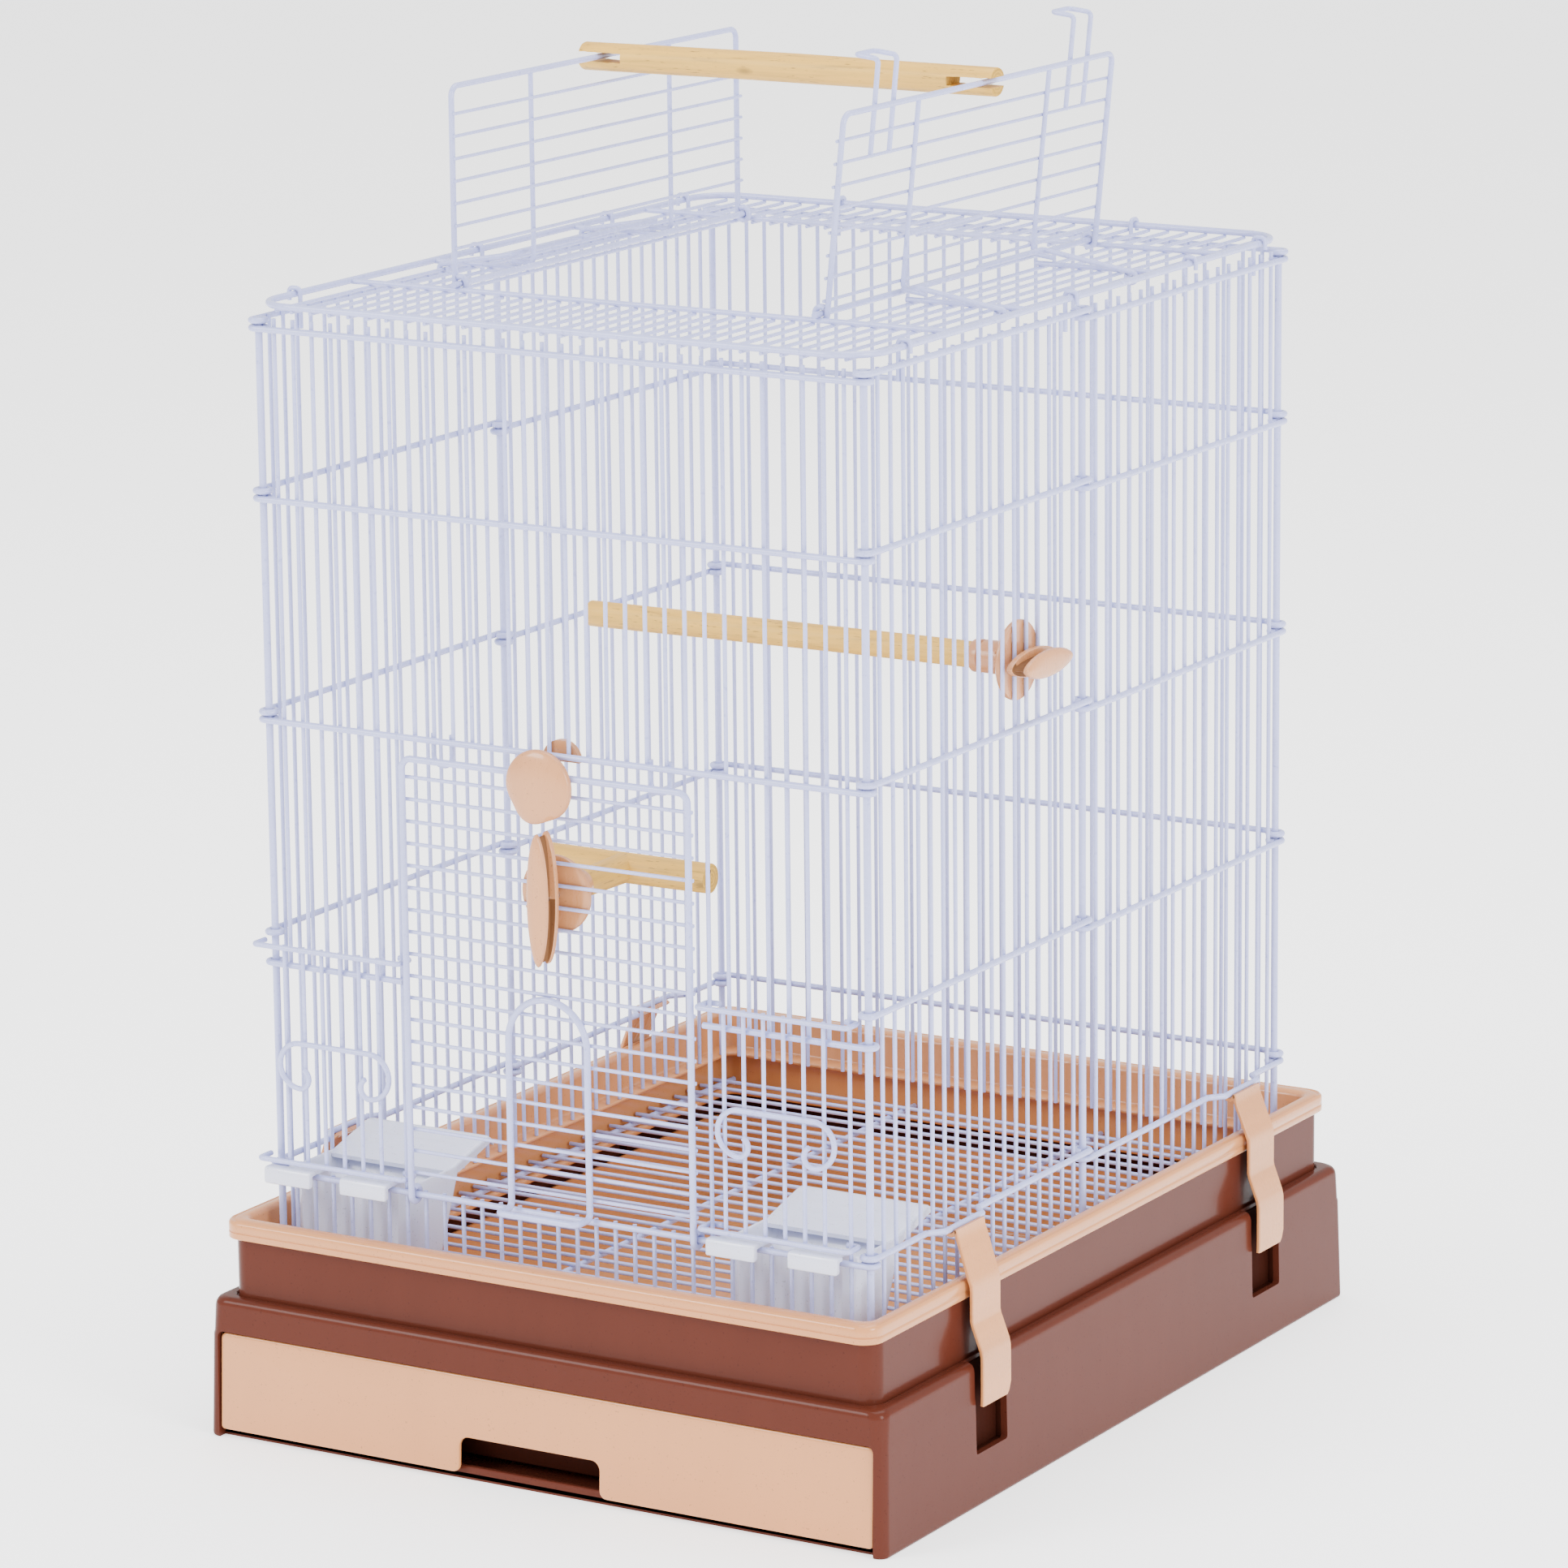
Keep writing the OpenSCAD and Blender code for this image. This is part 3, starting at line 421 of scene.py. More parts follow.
def lathe(profile, steps):
    """Turned shape about Z from (radius, height) pairs, closed at both ends on the axis"""
    rings = []
    for r, z in profile:
        reach = r if r > 0.01 else 0.001
        angles = [2 * math.pi * k / steps for k in range(steps)]
        rings.append([(reach * math.cos(a), reach * math.sin(a), z) for a in angles])
    return solid(rings)


def brick(lo, hi):
    (x0, y0, z0), (x1, y1, z1) = lo, hi
    return prism([(x0, y0), (x1, y0), (x1, y1), (x0, y1)], z0, z1)


def join(*shapes):
    verts, faces = [], []
    for v, f in shapes:
        faces += [tuple(i + len(verts) for i in face) for face in f]
        verts += v
    return verts, faces


def part(obj, body, slot, *nodes):
    """Sets the body the piece rides on and hides the CAD nodes it stands for; slot is not used"""
    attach(obj, body)
    if nodes:
        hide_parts(*nodes)


def mm_box(node):
    lo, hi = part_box(node)
    return Vector(lo) / MM, Vector(hi) / MM


# which way +Z of a shape looks once it is turned
TURN_TO_FRONT = Matrix.Rotation(math.radians(90), 3, "X")
TURN_TO_BACK = Matrix.Rotation(math.radians(-90), 3, "X")
TURN_TO_RIGHT = Matrix.Rotation(math.radians(90), 3, "Y")
TURN_TO_LEFT = Matrix.Rotation(math.radians(-90), 3, "Y")


# --- Base: brown shell ---

_, base_hi = mm_box("base_shell")
HALF_W, HALF_D = base_hi.x, base_hi.y
LEDGE_Z, WALL_TOP = 69.0, base_hi.z
INSET_SHARE_Y = 0.895
# inset from the widest outline, height, corner radius
BASE_PROFILE = (
    (0.7, 0.0, 4.4), (0.15, 0.6, 4.9), (0.0, 1.6, 5), (1.0, 50.6, 6), (1.3, 52.2, 6.2), (1.5, 64.6, 7.4),
    (1.8, 66.4, 7.6), (2.7, 68.0, 7.8), (4.2, 68.8, 8), (5.6, LEDGE_Z, 8.4), (8.3, LEDGE_Z, 9),
    (8.6, 68.6, 9.3), (8.8, 67.8, 9.2), (9.2, 67.7, 9.1), (9.45, 68.4, 9), (9.5, 69.6, 9),
    (9.5, 96.8, 9), (9.8, 97.6, 8.8), (10.4, WALL_TOP, 8.4), (11.9, WALL_TOP, 7), (12.4, 97.5, 6.6),
    (12.5, 96.5, 6.5), (12.5, 66.8, 6.5), (12.1, 65.8, 6.5), (11.2, 65.4, 6.6), (6.0, 65.2, 7.8),
    (4.8, 64.4, 7), (4.5, 62.0, 6), (4.4, 50.0, 5), (3.4, 4.2, 3.4), (4.0, 3.2, 3), (5.0, 3.0, 2.6))
MOUTH_X, MOUTH_TOP, MOUTH_R = 180.0, 52.4, 3
# foot height and depth behind the front: the outer face is cut to the ground, the wall behind it to the floor
MOUTH_CUTS = ((-2.0, 5.0), (3.2, 8.0))
MOUTH_CUT_LENGTH = 9.6
SLOT_Y, SLOT_HALF, SLOT_LOW, SLOT_TOP, SLOT_R = (-131.5, 146.0), 14.5, 25.0, 73.0, 1.5
SLOT_INNER, SLOT_OUTER = 178.4, 190.0
CORNER_STEPS = 4
# the recess behind each slot: x ranges of its back and flanks, y ranges of its flanks from the slot's middle
RECESS_BACK_X, RECESS_FLANK_X = (177.0, 179.2), (178.6, 182.4)
RECESS_HALF, RECESS_FLANK_Y = 16.4, ((-16.3, -14.6), (14.6, 16.3))
SILL_HALF, SILL_LOW, SILL_TOP = 181, 0.3, 6.5
RIB_HALF_LENGTH, RIB_ROWS = 150, (-150, -50, 50, 150)


def base_ring(inset, z, r):
    return rounded(HALF_W - inset, HALF_D - inset * INSET_SHARE_Y, r, z, 10)


def mouth_line(foot):
    """Outline of the drawer's mouth as (x, z)"""
    return ([(MOUTH_X, foot), (-MOUTH_X, foot)]
            + arc(-MOUTH_X + MOUTH_R, MOUTH_TOP - MOUTH_R, MOUTH_R, 180, 90, CORNER_STEPS)
            + arc(MOUTH_X - MOUTH_R, MOUTH_TOP - MOUTH_R, MOUTH_R, 90, 0, CORNER_STEPS))


def slot_cutter(side, y):
    """Cuts a clip's slot through a side wall; its outline is in (y, z)"""
    line = (arc(-SLOT_HALF + SLOT_R, SLOT_LOW + SLOT_R, SLOT_R, 180, 270, CORNER_STEPS)
            + arc(SLOT_HALF - SLOT_R, SLOT_LOW + SLOT_R, SLOT_R, 270, 360, CORNER_STEPS)
            + [(SLOT_HALF, SLOT_TOP), (-SLOT_HALF, SLOT_TOP)])
    verts, faces = prism(line, SLOT_INNER, SLOT_OUTER)
    return [(side * x, y + across, z) for across, z, x in verts], faces


def clip_pocket(side, y):
    """Back, flanks and floor of the recess behind a clip's tongue, made dark brown as painted shade"""
    back_x = sorted(side * x for x in RECESS_BACK_X)
    flank_x = sorted(side * x for x in RECESS_FLANK_X)
    back = brick((back_x[0], y - RECESS_HALF, 16), (back_x[1], y + RECESS_HALF, 67))
    flanks = [brick((flank_x[0], y + a, 20), (flank_x[1], y + b, 64)) for a, b in RECESS_FLANK_Y]
    bottom = brick((flank_x[0], y - 16.3, 20), (flank_x[1], y + 16.3, 24.8))
    return join(back, *flanks, bottom)


shell = make("base_body", *solid([base_ring(*p) for p in BASE_PROFILE]), brown)
for foot, behind in MOUTH_CUTS:
    cutter = prism(mouth_line(foot), 0, MOUTH_CUT_LENGTH)
    cut(shell, make("mouth_cut", *cutter, brown, (0, -HALF_D + behind, 0), TURN_TO_FRONT))
for side in (-1, 1):
    for y in SLOT_Y:
        cut(shell, make("slot_cut", *slot_cutter(side, y), brown))
bevel_edges(shell, 0.45, 48)
smooth(shell, 34)
even_normals(shell)
part(shell, "base", "base_plastic", "base_shell")

sill = brick((-SILL_HALF, -HALF_D + 5, SILL_LOW), (SILL_HALF, -HALF_D + 8, SILL_TOP))
part(make("base_sill", *sill, brown, round_edge=0.8), "base", "base_plastic")
for side, label in ((-1, "left"), (1, "right")):
    for y, end in zip(SLOT_Y, ("front", "rear")):
        # the recess pieces are dark brown: painted shade
        pocket = make(f"clip_pocket_{end}_{label}", *clip_pocket(side, y), shade_and_pith_brown, round_edge=0.3)
        part(pocket, "base", "base_plastic")

ribs = join(*[brick((-RIB_HALF_LENGTH, y - 1.2, 2.4), (RIB_HALF_LENGTH, y + 1.2, 5.6)) for y in RIB_ROWS])
part(make("base_floor_ribs", *ribs, brown, round_edge=0.5), "base", "base_plastic")


# --- Base: tan collar ---

_, collar_hi = mm_box("rim_collar")
COLLAR_W, COLLAR_D, RIM_Z = collar_hi.x, collar_hi.y, collar_hi.z
SKIRT_W, SKIRT_D = 170.8, 217.8
SHELF_W, SHELF_D = 161.5, 207.0
COLLAR_STEPS = 12
# place from the outer face, 0, to the skirt's inner face, 1; height; corner radius
LIP = (
    (0.05, 98.0, 9.6), (0.0, 98.4, 10), (0.0, 101.0, 10), (0.035, 101.3, 9.9), (0.035, 101.6, 9.9),
    (0.0, 101.9, 10), (0.0, 105.2, 10), (0.04, 106.1, 9.8), (0.12, 106.7, 9.4), (0.18, 106.5, 9.2),
    (0.24, 106.2, 9), (0.3, 106.6, 8.8), (0.4, RIM_Z, 8.4), (0.7, RIM_Z, 7.4), (0.82, 106.7, 7),
    (0.92, 105.9, 6.6), (0.97, 105.2, 6.4), (1.0, 104.2, 6.2))
# half sizes, height, corner radius: down the skirt, round its two shelves and up behind the brown wall
SKIRT = (
    (SKIRT_W, SKIRT_D, 88.8, 6.2), (SKIRT_W - 0.4, SKIRT_D - 0.4, 88.0, 5.8),
    (SKIRT_W - 1.2, SKIRT_D - 1.2, 87.8, 5.4), (SHELF_W + 0.5, SHELF_D + 0.5, 87.8, 4.4),
    (SHELF_W, SHELF_D, 87.3, 4), (SHELF_W, SHELF_D, 86.3, 4),
    (SHELF_W + 0.5, SHELF_D + 0.5, 85.8, 4.4),
    (SKIRT_W, SKIRT_D, 85.6, 6), (SKIRT_W, SKIRT_D, 68.6, 6), (SKIRT_W - 0.8, SKIRT_D - 0.8, 68.0, 5.4),
    (SHELF_W + 0.5, SHELF_D + 0.5, 68.0, 4.2), (SHELF_W, SHELF_D, 67.5, 3.8), (SHELF_W, SHELF_D, 65.6, 3.8),
    (SHELF_W + 0.6, SHELF_D + 0.6, 65.0, 4.2), (172.3, 219.4, 65.0, 7.4), (173.0, 220.0, 65.7, 8),
    (173.0, 220.0, 97.9, 8))

rings = [rounded(COLLAR_W + (SKIRT_W - COLLAR_W) * share, COLLAR_D + (SKIRT_D - COLLAR_D) * share, r, z,
                 COLLAR_STEPS) for share, z, r in LIP]
rings += [rounded(w, d, r, z, COLLAR_STEPS) for w, d, z, r in SKIRT]
collar = make("rim_body", *skin(rings, wrap=True), tan, crease=50)
part(collar, "base", "tan_plastic", "rim_collar")


# --- Drawer ---

drawer_lo, drawer_hi = mm_box("drawer")
DRAWER_FRONT, DRAWER_BACK = drawer_lo.y, drawer_hi.y
PANEL_HALF, PANEL_LOW, PANEL_TOP = drawer_hi.x, drawer_lo.z, drawer_hi.z
PANEL_LEAN, PANEL_THICK = 0.046, 2.4
PANEL_FOOT_R, PANEL_HEAD_R = 2, 3
NOTCH_MID, NOTCH_HALF, NOTCH_TOP, NOTCH_R, FLARE_R = -5.0, 38.5, 21.5, 4.5, 4.0
# inset and depth of the rings from the panel's back face to its front face
PANEL_RINGS = ((0.5, 0.0), (0.0, 0.5), (0.0, 1.3), (0.25, 1.9), (0.7, 2.25), (1.5, PANEL_THICK))
TRAY_GAP = 24     # the tray starts this far behind the panel's face
TRAY_MID_Y = (DRAWER_FRONT + TRAY_GAP + DRAWER_BACK) / 2
TRAY_W, TRAY_D = 175.0, (DRAWER_BACK - DRAWER_FRONT - TRAY_GAP) / 2
# inset, height, corner radius
TRAY_PROFILE = (
    (4.0, 7.5, 10), (2.2, 7.7, 11), (1.0, 8.6, 12), (0.8, 10.0, 12.2), (0.5, 44.0, 13), (0.4, 48.6, 13),
    (0.0, 49.2, 13.2), (0.0, 50.6, 13.2), (0.4, 51.3, 13), (1.0, PANEL_TOP, 12.6), (2.0, PANEL_TOP, 12),
    (2.5, 51.1, 11.6), (2.6, 50.2, 11.5), (3.0, 11.6, 11), (3.6, 10.3, 10.4), (4.8, 9.7, 9.6))
BRIDGE_BACK = DRAWER_FRONT + 25.5
POCKET_LEFT, POCKET_RIGHT, POCKET_LOW, POCKET_TOP = -54, 44, 8.2, 26.0
POCKET_Y, POCKET_DEEP, POCKET_WALL = DRAWER_FRONT + 4.6, 12.4, 1.6


def panel_line():
    """Outline of the front panel as (x, z), anticlockwise, with its finger notch"""
    foot, head = PANEL_FOOT_R, PANEL_HEAD_R
    return (
        arc(-PANEL_HALF + foot, PANEL_LOW + foot, foot, 180, 270, 4)
        + arc(NOTCH_MID - NOTCH_HALF - FLARE_R, PANEL_LOW + FLARE_R, FLARE_R, 270, 360, 6)
        + arc(NOTCH_MID - NOTCH_HALF + NOTCH_R, NOTCH_TOP - NOTCH_R, NOTCH_R, 180, 90, 6)
        + arc(NOTCH_MID + NOTCH_HALF - NOTCH_R, NOTCH_TOP - NOTCH_R, NOTCH_R, 90, 0, 6)
        + arc(NOTCH_MID + NOTCH_HALF + FLARE_R, PANEL_LOW + FLARE_R, FLARE_R, 180, 270, 6)
        + arc(PANEL_HALF - foot, PANEL_LOW + foot, foot, 270, 360, 4)
        + arc(PANEL_HALF - head, PANEL_TOP - head, head, 0, 90, 5)
        + arc(-PANEL_HALF + head, PANEL_TOP - head, head, 90, 180, 5))


def offset_line(line, inset):
    """Outline moved inwards; the line runs anticlockwise"""
    moved = []
    for i, (x, y) in enumerate(line):
        px, py = line[i - 1]
        nx, ny = line[(i + 1) % len(line)]
        ax, ay, bx, by = x - px, y - py, nx - x, ny - y
        la, lb = math.hypot(ax, ay) or 1, math.hypot(bx, by) or 1
        ox, oy = -(ay / la + by / lb), ax / la + bx / lb
        scale = inset / max(0.4, math.hypot(ox, oy) / 2) / (math.hypot(ox, oy) or 1)
        moved.append((x + ox * scale, y + oy * scale))
    return moved


rings = [[(x, DRAWER_FRONT + PANEL_THICK - depth + PANEL_LEAN * (z - PANEL_LOW), z)
          for x, z in offset_line(panel_line(), inset)] for inset, depth in PANEL_RINGS]
panel = make("drawer_front", *solid(rings), tan, crease=28)
part(panel, "drawer", "tan_plastic", "drawer")

rings = [[(x, y + TRAY_MID_Y, z) for x, y, z in rounded(TRAY_W - inset, TRAY_D - inset, r, z)]
         for inset, z, r in TRAY_PROFILE]
part(make("drawer_tray", *solid(rings), tan), "drawer", "tan_plastic")

bridge = join(
    brick((-174, DRAWER_FRONT + 3.9, 48.9), (174, BRIDGE_BACK, PANEL_TOP - 0.2)),
    *[brick((x, DRAWER_FRONT + 3.2, 8.0), (x + 2.2, BRIDGE_BACK, 50.6)) for x in (-174.8, -60, 52, 172.6)])
part(make("drawer_bridge", *bridge, tan, round_edge=0.5), "drawer", "tan_plastic")

# finger pocket behind the notch: back, roof, two ends, dark brown as painted shade
finger_pocket = join(
    brick((POCKET_LEFT, POCKET_Y + 12, POCKET_LOW), (POCKET_RIGHT, POCKET_Y + 13.6, POCKET_TOP)),
    brick((POCKET_LEFT, POCKET_Y, 24.4), (POCKET_RIGHT, POCKET_Y + POCKET_DEEP, POCKET_TOP)),
    brick((POCKET_LEFT, POCKET_Y, POCKET_LOW), (POCKET_LEFT + POCKET_WALL, POCKET_Y + POCKET_DEEP, 24.6)),
    brick((POCKET_RIGHT - POCKET_WALL, POCKET_Y, POCKET_LOW), (POCKET_RIGHT, POCKET_Y + POCKET_DEEP, 24.6)))
part(make("drawer_finger_pocket", *finger_pocket, shade_and_pith_brown, round_edge=0.3), "drawer", "base_plastic")


# --- Cups ---

CUP_HALF, CUP_FRONT, CUP_R, CUP_RIM = 35.0, -195.6, 7.0, 127.0
FLUTES, FLUTE_DEEP, FLUTE_STEPS = 5, 1.3, 24
HOOD_STEPS, HOOD_BREAK = 22, 0.88     # past the break, as a share of its length, the hood droops
RIB_AT, RIB_WIDE, RIB_HIGH = (0.3, 0.56, 0.8), 0.05, 0.9
TAB_TOP, TAB_MID_Y, TAB_TAPER = 131.1, -209.0, 0.3
# section of a tab as (y, z from its top): lip, underside over the rail, root, top
TAB_LINE = (
    (-212.1, -7.6), (-211.7, -8.1), (-209.9, -8.1), (-209.3, -7.6), (-209.1, -2.6), (-208.6, -2.2),
    (-206.0, -2.2), (-205.8, -1.6), (-205.9, -0.6), (-206.6, 0), (-210.6, 0), (-211.6, -0.5), (-212.1, -1.6))
# middle of each tab, and the ends of its neck from there
LEFT_TABS = ((-151.0, -3.0, 13.0), (-108.0, -13.0, 13.0))
RIGHT_TABS = ((94.0, -9.0, 13.0), (137.5, -13.0, 10.0))


def cup_ring(low, z, inset, lean):
    """Ring at height z, from the front left round to the back; the front is fluted"""
    front, r = CUP_FRONT + inset, CUP_R
    back = CUP_FRONT + 28 + 18 * (z - low) / (CUP_RIM - low) - inset
    w = CUP_HALF - inset - lean
    ring = []
    for k in range(FLUTE_STEPS + 1):
        t = -1 + 2 * k / FLUTE_STEPS
        wave = FLUTE_DEEP * abs(math.sin(t * math.pi * (FLUTES / 2))) if inset == 0 else 0.0
        ring.append((t * (w - r), front + FLUTE_DEEP - wave, z))
    turns = [math.radians(15 * k) for k in range(7)]
    ring += [(w - r + r * math.sin(a), front + FLUTE_DEEP + r * (1 - math.cos(a)), z) for a in turns[1:]]
    ring += [(w - r + r * math.cos(a), back - r + r * math.sin(a), z) for a in turns]
    return ring + [(-x, y, height) for x, y, height in reversed(ring[FLUTE_STEPS + 1:])]


def cup_bowl(low):
    """Up the outside, over the rim and down the inside"""
    rim = CUP_RIM
    levels = ((low, 4.0, 1.6), (low + 0.8, 0.8, 1.6), (low + 2.4, 0, 1.5), (low + 24, 0, 0.8),
              (rim - 1.0, 0, 0.0), (rim - 0.2, 0.4, 0.0), (rim, 1.0, 0.0), (rim - 0.3, 1.7, 0.0),
              (rim - 1.2, 2.0, 0.0), (low + 6, 2.0, 1.4), (low + 3.0, 3.4, 1.4), (low + 2.2, 6.0, 1.4))
    return solid([cup_ring(low, *level) for level in levels])


def hood_section(back, top):
    """(y, z, rib height) along the hood, which rises from the middle of the cup to its back"""
    start, end = CUP_FRONT + 33.0, back - 0.3
    section = []
    for k in range(HOOD_STEPS + 1):
        t = k / HOOD_STEPS
        rise = (top - CUP_RIM) * min(1.0, t / HOOD_BREAK) ** 0.9
        droop = 3.4 * max(0.0, (t - HOOD_BREAK) / 0.12) ** 2
        rib = sum(RIB_HIGH * max(0.0, math.cos((t - at) * math.pi / RIB_WIDE))
                  for at in RIB_AT if abs(t - at) < RIB_WIDE / 2)
        section.append((start + (end - start) * t, CUP_RIM - 1.0 + rise - droop, rib))
    return section


def hood(section):
    half = CUP_HALF
    across = (-half + 0.2, -half + 0.6, -half + 1.6, -half * 0.5, 0,
              half * 0.5, half - 1.6, half - 0.6, half - 0.2)
    drop = (1.4, 0.5, 0, 0, 0, 0, 0, 0.5, 1.4)
    rings = []
    for y, z, rib in section:
        upper = [(x, y, z - d + (rib if abs(x) < half - 3 else 0)) for x, d in zip(across, drop)]
        lower = [(x * 0.975, y, z - 2.0) for x in across]
        rings.append(upper + lower[::-1])
    return solid(rings)


def cheek(section, side):
    """Wall that fills the gap between the rim and the hood at one side"""
    outer, inner = side * (CUP_HALF - 0.3), side * (CUP_HALF - 2.2)
    rings = []
    for y, z, _ in section:
        foot = min(z - 2.2, CUP_RIM - 3.2 + 0.28 * max(0.0, y - CUP_FRONT - 42))
        head = z - 0.9
        rings.append([(outer, y, foot), (outer, y, head), (inner, y, head), (inner, y, foot)])
    return solid(rings)


def cup_tab(mid, neck_from, neck_to):
    """Plate over the rail whose lip hangs in front of it, and a neck down to the cup"""
    mid_z = TAB_TOP - 3.2
    profile = [(y, TAB_TOP + z) for y, z in TAB_LINE]
    plate = []
    for x, shrink in ((-13.0, 0.5), (-12.6, 0.12), (-12.0, 0.0), (12.0, 0.0), (12.6, 0.12), (13.0, 0.5)):
        plate.append([(mid + x, y + (TAB_MID_Y - y) * shrink * TAB_TAPER,
                       z + (mid_z - z) * shrink * TAB_TAPER) for y, z in profile])
    neck = [(-206.4, TAB_TOP - 2.2), (-206.4, TAB_TOP - 0.2), (-195.9, TAB_TOP - 0.2),
            (-194.6, TAB_TOP - 0.6), (-193.8, TAB_TOP - 1.6), (-193.6, CUP_RIM - 2.0),
            (-195.4, CUP_RIM - 2.0), (-195.6, TAB_TOP - 2.4)]
    return solid(plate), solid([[(mid + x, y, z) for y, z in neck] for x in (neck_from, neck_to)])


def cup(node, tabs):
    """Open cup with a fluted front, a sloping hood at the back and hanging tabs"""
    lo, hi = mm_box(node)
    mid = (lo.x + hi.x) / 2
    section = hood_section(hi.y, hi.z)
    bowl = join(cup_bowl(lo.z), hood(section), cheek(section, -1), cheek(section, 1))
    part(make(node + "_bowl", *bowl, cup_white, (mid, 0, 0), crease=40), node, "cup_plastic", node)
    plates = [shape for tab_mid, *neck in tabs for shape in cup_tab(tab_mid - mid, *neck)]
    part(make(node + "_tabs", *join(*plates), cup_white, (mid, 0, 0), crease=32, round_edge=0.25),
         node, "cup_plastic")


cup("cup_left", LEFT_TABS)
cup("cup_right", RIGHT_TABS)


# --- Clips ---

CLIP_AXIS_X, CLIP_AXIS_DROP, CLIP_RING, CLIP_THICK = 171.0, 4.0, 2.9, 2.0
TONGUE_X, TONGUE_TURN_Z = 187, 54.0     # past these the tongue narrows towards its tip


def clip(node):
    """Strip rolled round the rail's step; its tongue hangs in front of the base"""
    lo, hi = mm_box(node)
    side = 1 if lo.x > 0 else -1
    mid_y = (lo.y + hi.y) / 2
    wide = (hi.y - lo.y) / 2
    axis_x, axis_z = CLIP_AXIS_X, hi.z - CLIP_AXIS_DROP
    # centre line of the strip as (x, z)
    line = [(axis_x + CLIP_RING * math.cos(math.radians(a)), axis_z + CLIP_RING * math.sin(math.radians(a)))
            for a in range(-150, 1, 15)]
    line += [(axis_x + CLIP_RING + 0.5, axis_z - 3.5), (axis_x + CLIP_RING + 1.6, axis_z - 6.5),
             (180.6, 108.0), (181.9, 104.6), (182.1, 102.0), (182.1, 88.0), (182.6, 85.8), (187.0, 74.2),
             (187.5, 71.6), (187.6, 68.0), (187.6, 54.0), (187.5, 50.0), (187.4, 48.2)]
    rings = []
    for i, (x, z) in enumerate(line):
        px, pz = line[max(0, i - 1)]
        nx, nz = line[min(len(line) - 1, i + 1)]
        dx, dz = nx - px, nz - pz
        size = math.hypot(dx, dz)
        ox, oz = -dz / size, dx / size
        fall = max(0.0, (TONGUE_TURN_Z - z) / 8.0)
        rear = wide - (5.5 * fall ** 2 if x > TONGUE_X else 0.0)
        # the strip's section: place across it, and share of half its thickness
        section = ((-wide, -0.55), (-wide, 0.55), (-wide + 0.45, 1.0), (-wide + 3, 1.0), (0, 1.0),
                   (rear - 3, 1.0), (rear - 0.45, 1.0), (rear, 0.55), (rear, -0.55), (rear - 0.45, -1.0),
                   (rear - 3, -1.0), (0, -1.0), (-wide + 3, -1.0), (-wide + 0.45, -1.0))
        rings.append([(side * (x + ox * d * CLIP_THICK / 2), mid_y + y, z + oz * d * CLIP_THICK / 2)
                      for y, d in section])
    part(make(node + "_strip", *solid(rings), clip_tan, crease=30), node, "tan_plastic", node)


for node in ("clip_front_left", "clip_front_right", "clip_rear_left", "clip_rear_right"):
    clip(node)


# --- Knob, nuts, flanges ---

# half sizes of the leaf and crown, as shares, at each height: rear rim, slit, rim, crown up to its spine
NUT_DEEP = 11.9
NUT_LEVELS = (
    (0.9, 0.985, 0.0), (1.0, 1.0, 0.5), (1.0, 1.0, 2.4), (0.93, 0.99, 2.8), (0.45, 0.955, 3.0),
    (0.4, 0.95, 3.6), (0.4, 0.95, 7.8), (0.45, 0.955, 8.4), (0.92, 0.99, 8.7), (1.0, 1.0, 9.1),
    (1.0, 1.0, 9.9), (0.95, 0.99, 10.5), (0.86, 0.965, NUT_DEEP - 0.9), (0.62, 0.9, NUT_DEEP - 0.4),
    (0.3, 0.7, NUT_DEEP - 0.08), (0.1, 0.4, NUT_DEEP))
# depths between which the nut's faces get painted shade
NUT_SLIT_FROM, NUT_SLIT_TO = 2.9, 8.5
KNOB_Z, KNOB_R, KNOB_TAIL, KNOB_WAIST = 332.5, 17.3, 1.3, 1.2
KNOB_LEVELS = ((0.955, 0.0), (0.99, 0.35), (1.0, 1.1), (1.0, 2.2), (0.985, 3.0), (0.95, 3.6), (0.86, 4.3),
               (0.7, 5.0), (0.5, 5.5), (0.3, 5.8), (0.12, 5.95))


def leaf(half_w, half_l, steps=56):
    """Leaf outline, long along y, with round tips"""
    outline = []
    for k in range(steps):
        a = 2 * math.pi * k / steps
        c = math.cos(a)
        outline.append((half_w * math.copysign(abs(c) ** 1.15, c), half_l * math.sin(a)))
    return outline


def wing_nut(name, node, half_w, half_l, facing):
    """Rear rim, slit, then a crowned front with a spine; the slit's faces are painted dark as shade; z of the
    shape points out of the cage
    """
    lo, hi = mm_box(node)
    centre = (lo + hi) / 2
    if facing == "front":
        back, spin = (centre.x, hi.y, centre.z), TURN_TO_FRONT
    else:
        back, spin = (lo.x, centre.y, centre.z), TURN_TO_RIGHT
    piece = make(name, *crown(leaf(half_w, half_l), NUT_LEVELS), holder, back, spin, crease=34)
    # faces inside the slit take the darker plastic: painted shade
    piece.data.materials.append(holder_slit_painted_shade)
    for face in piece.data.polygons:
        depth = (-face.center.y if facing == "front" else face.center.x) / MM
        if NUT_SLIT_FROM < depth < NUT_SLIT_TO:
            face.material_index = 1
    part(piece, node, "holder_plastic", node)


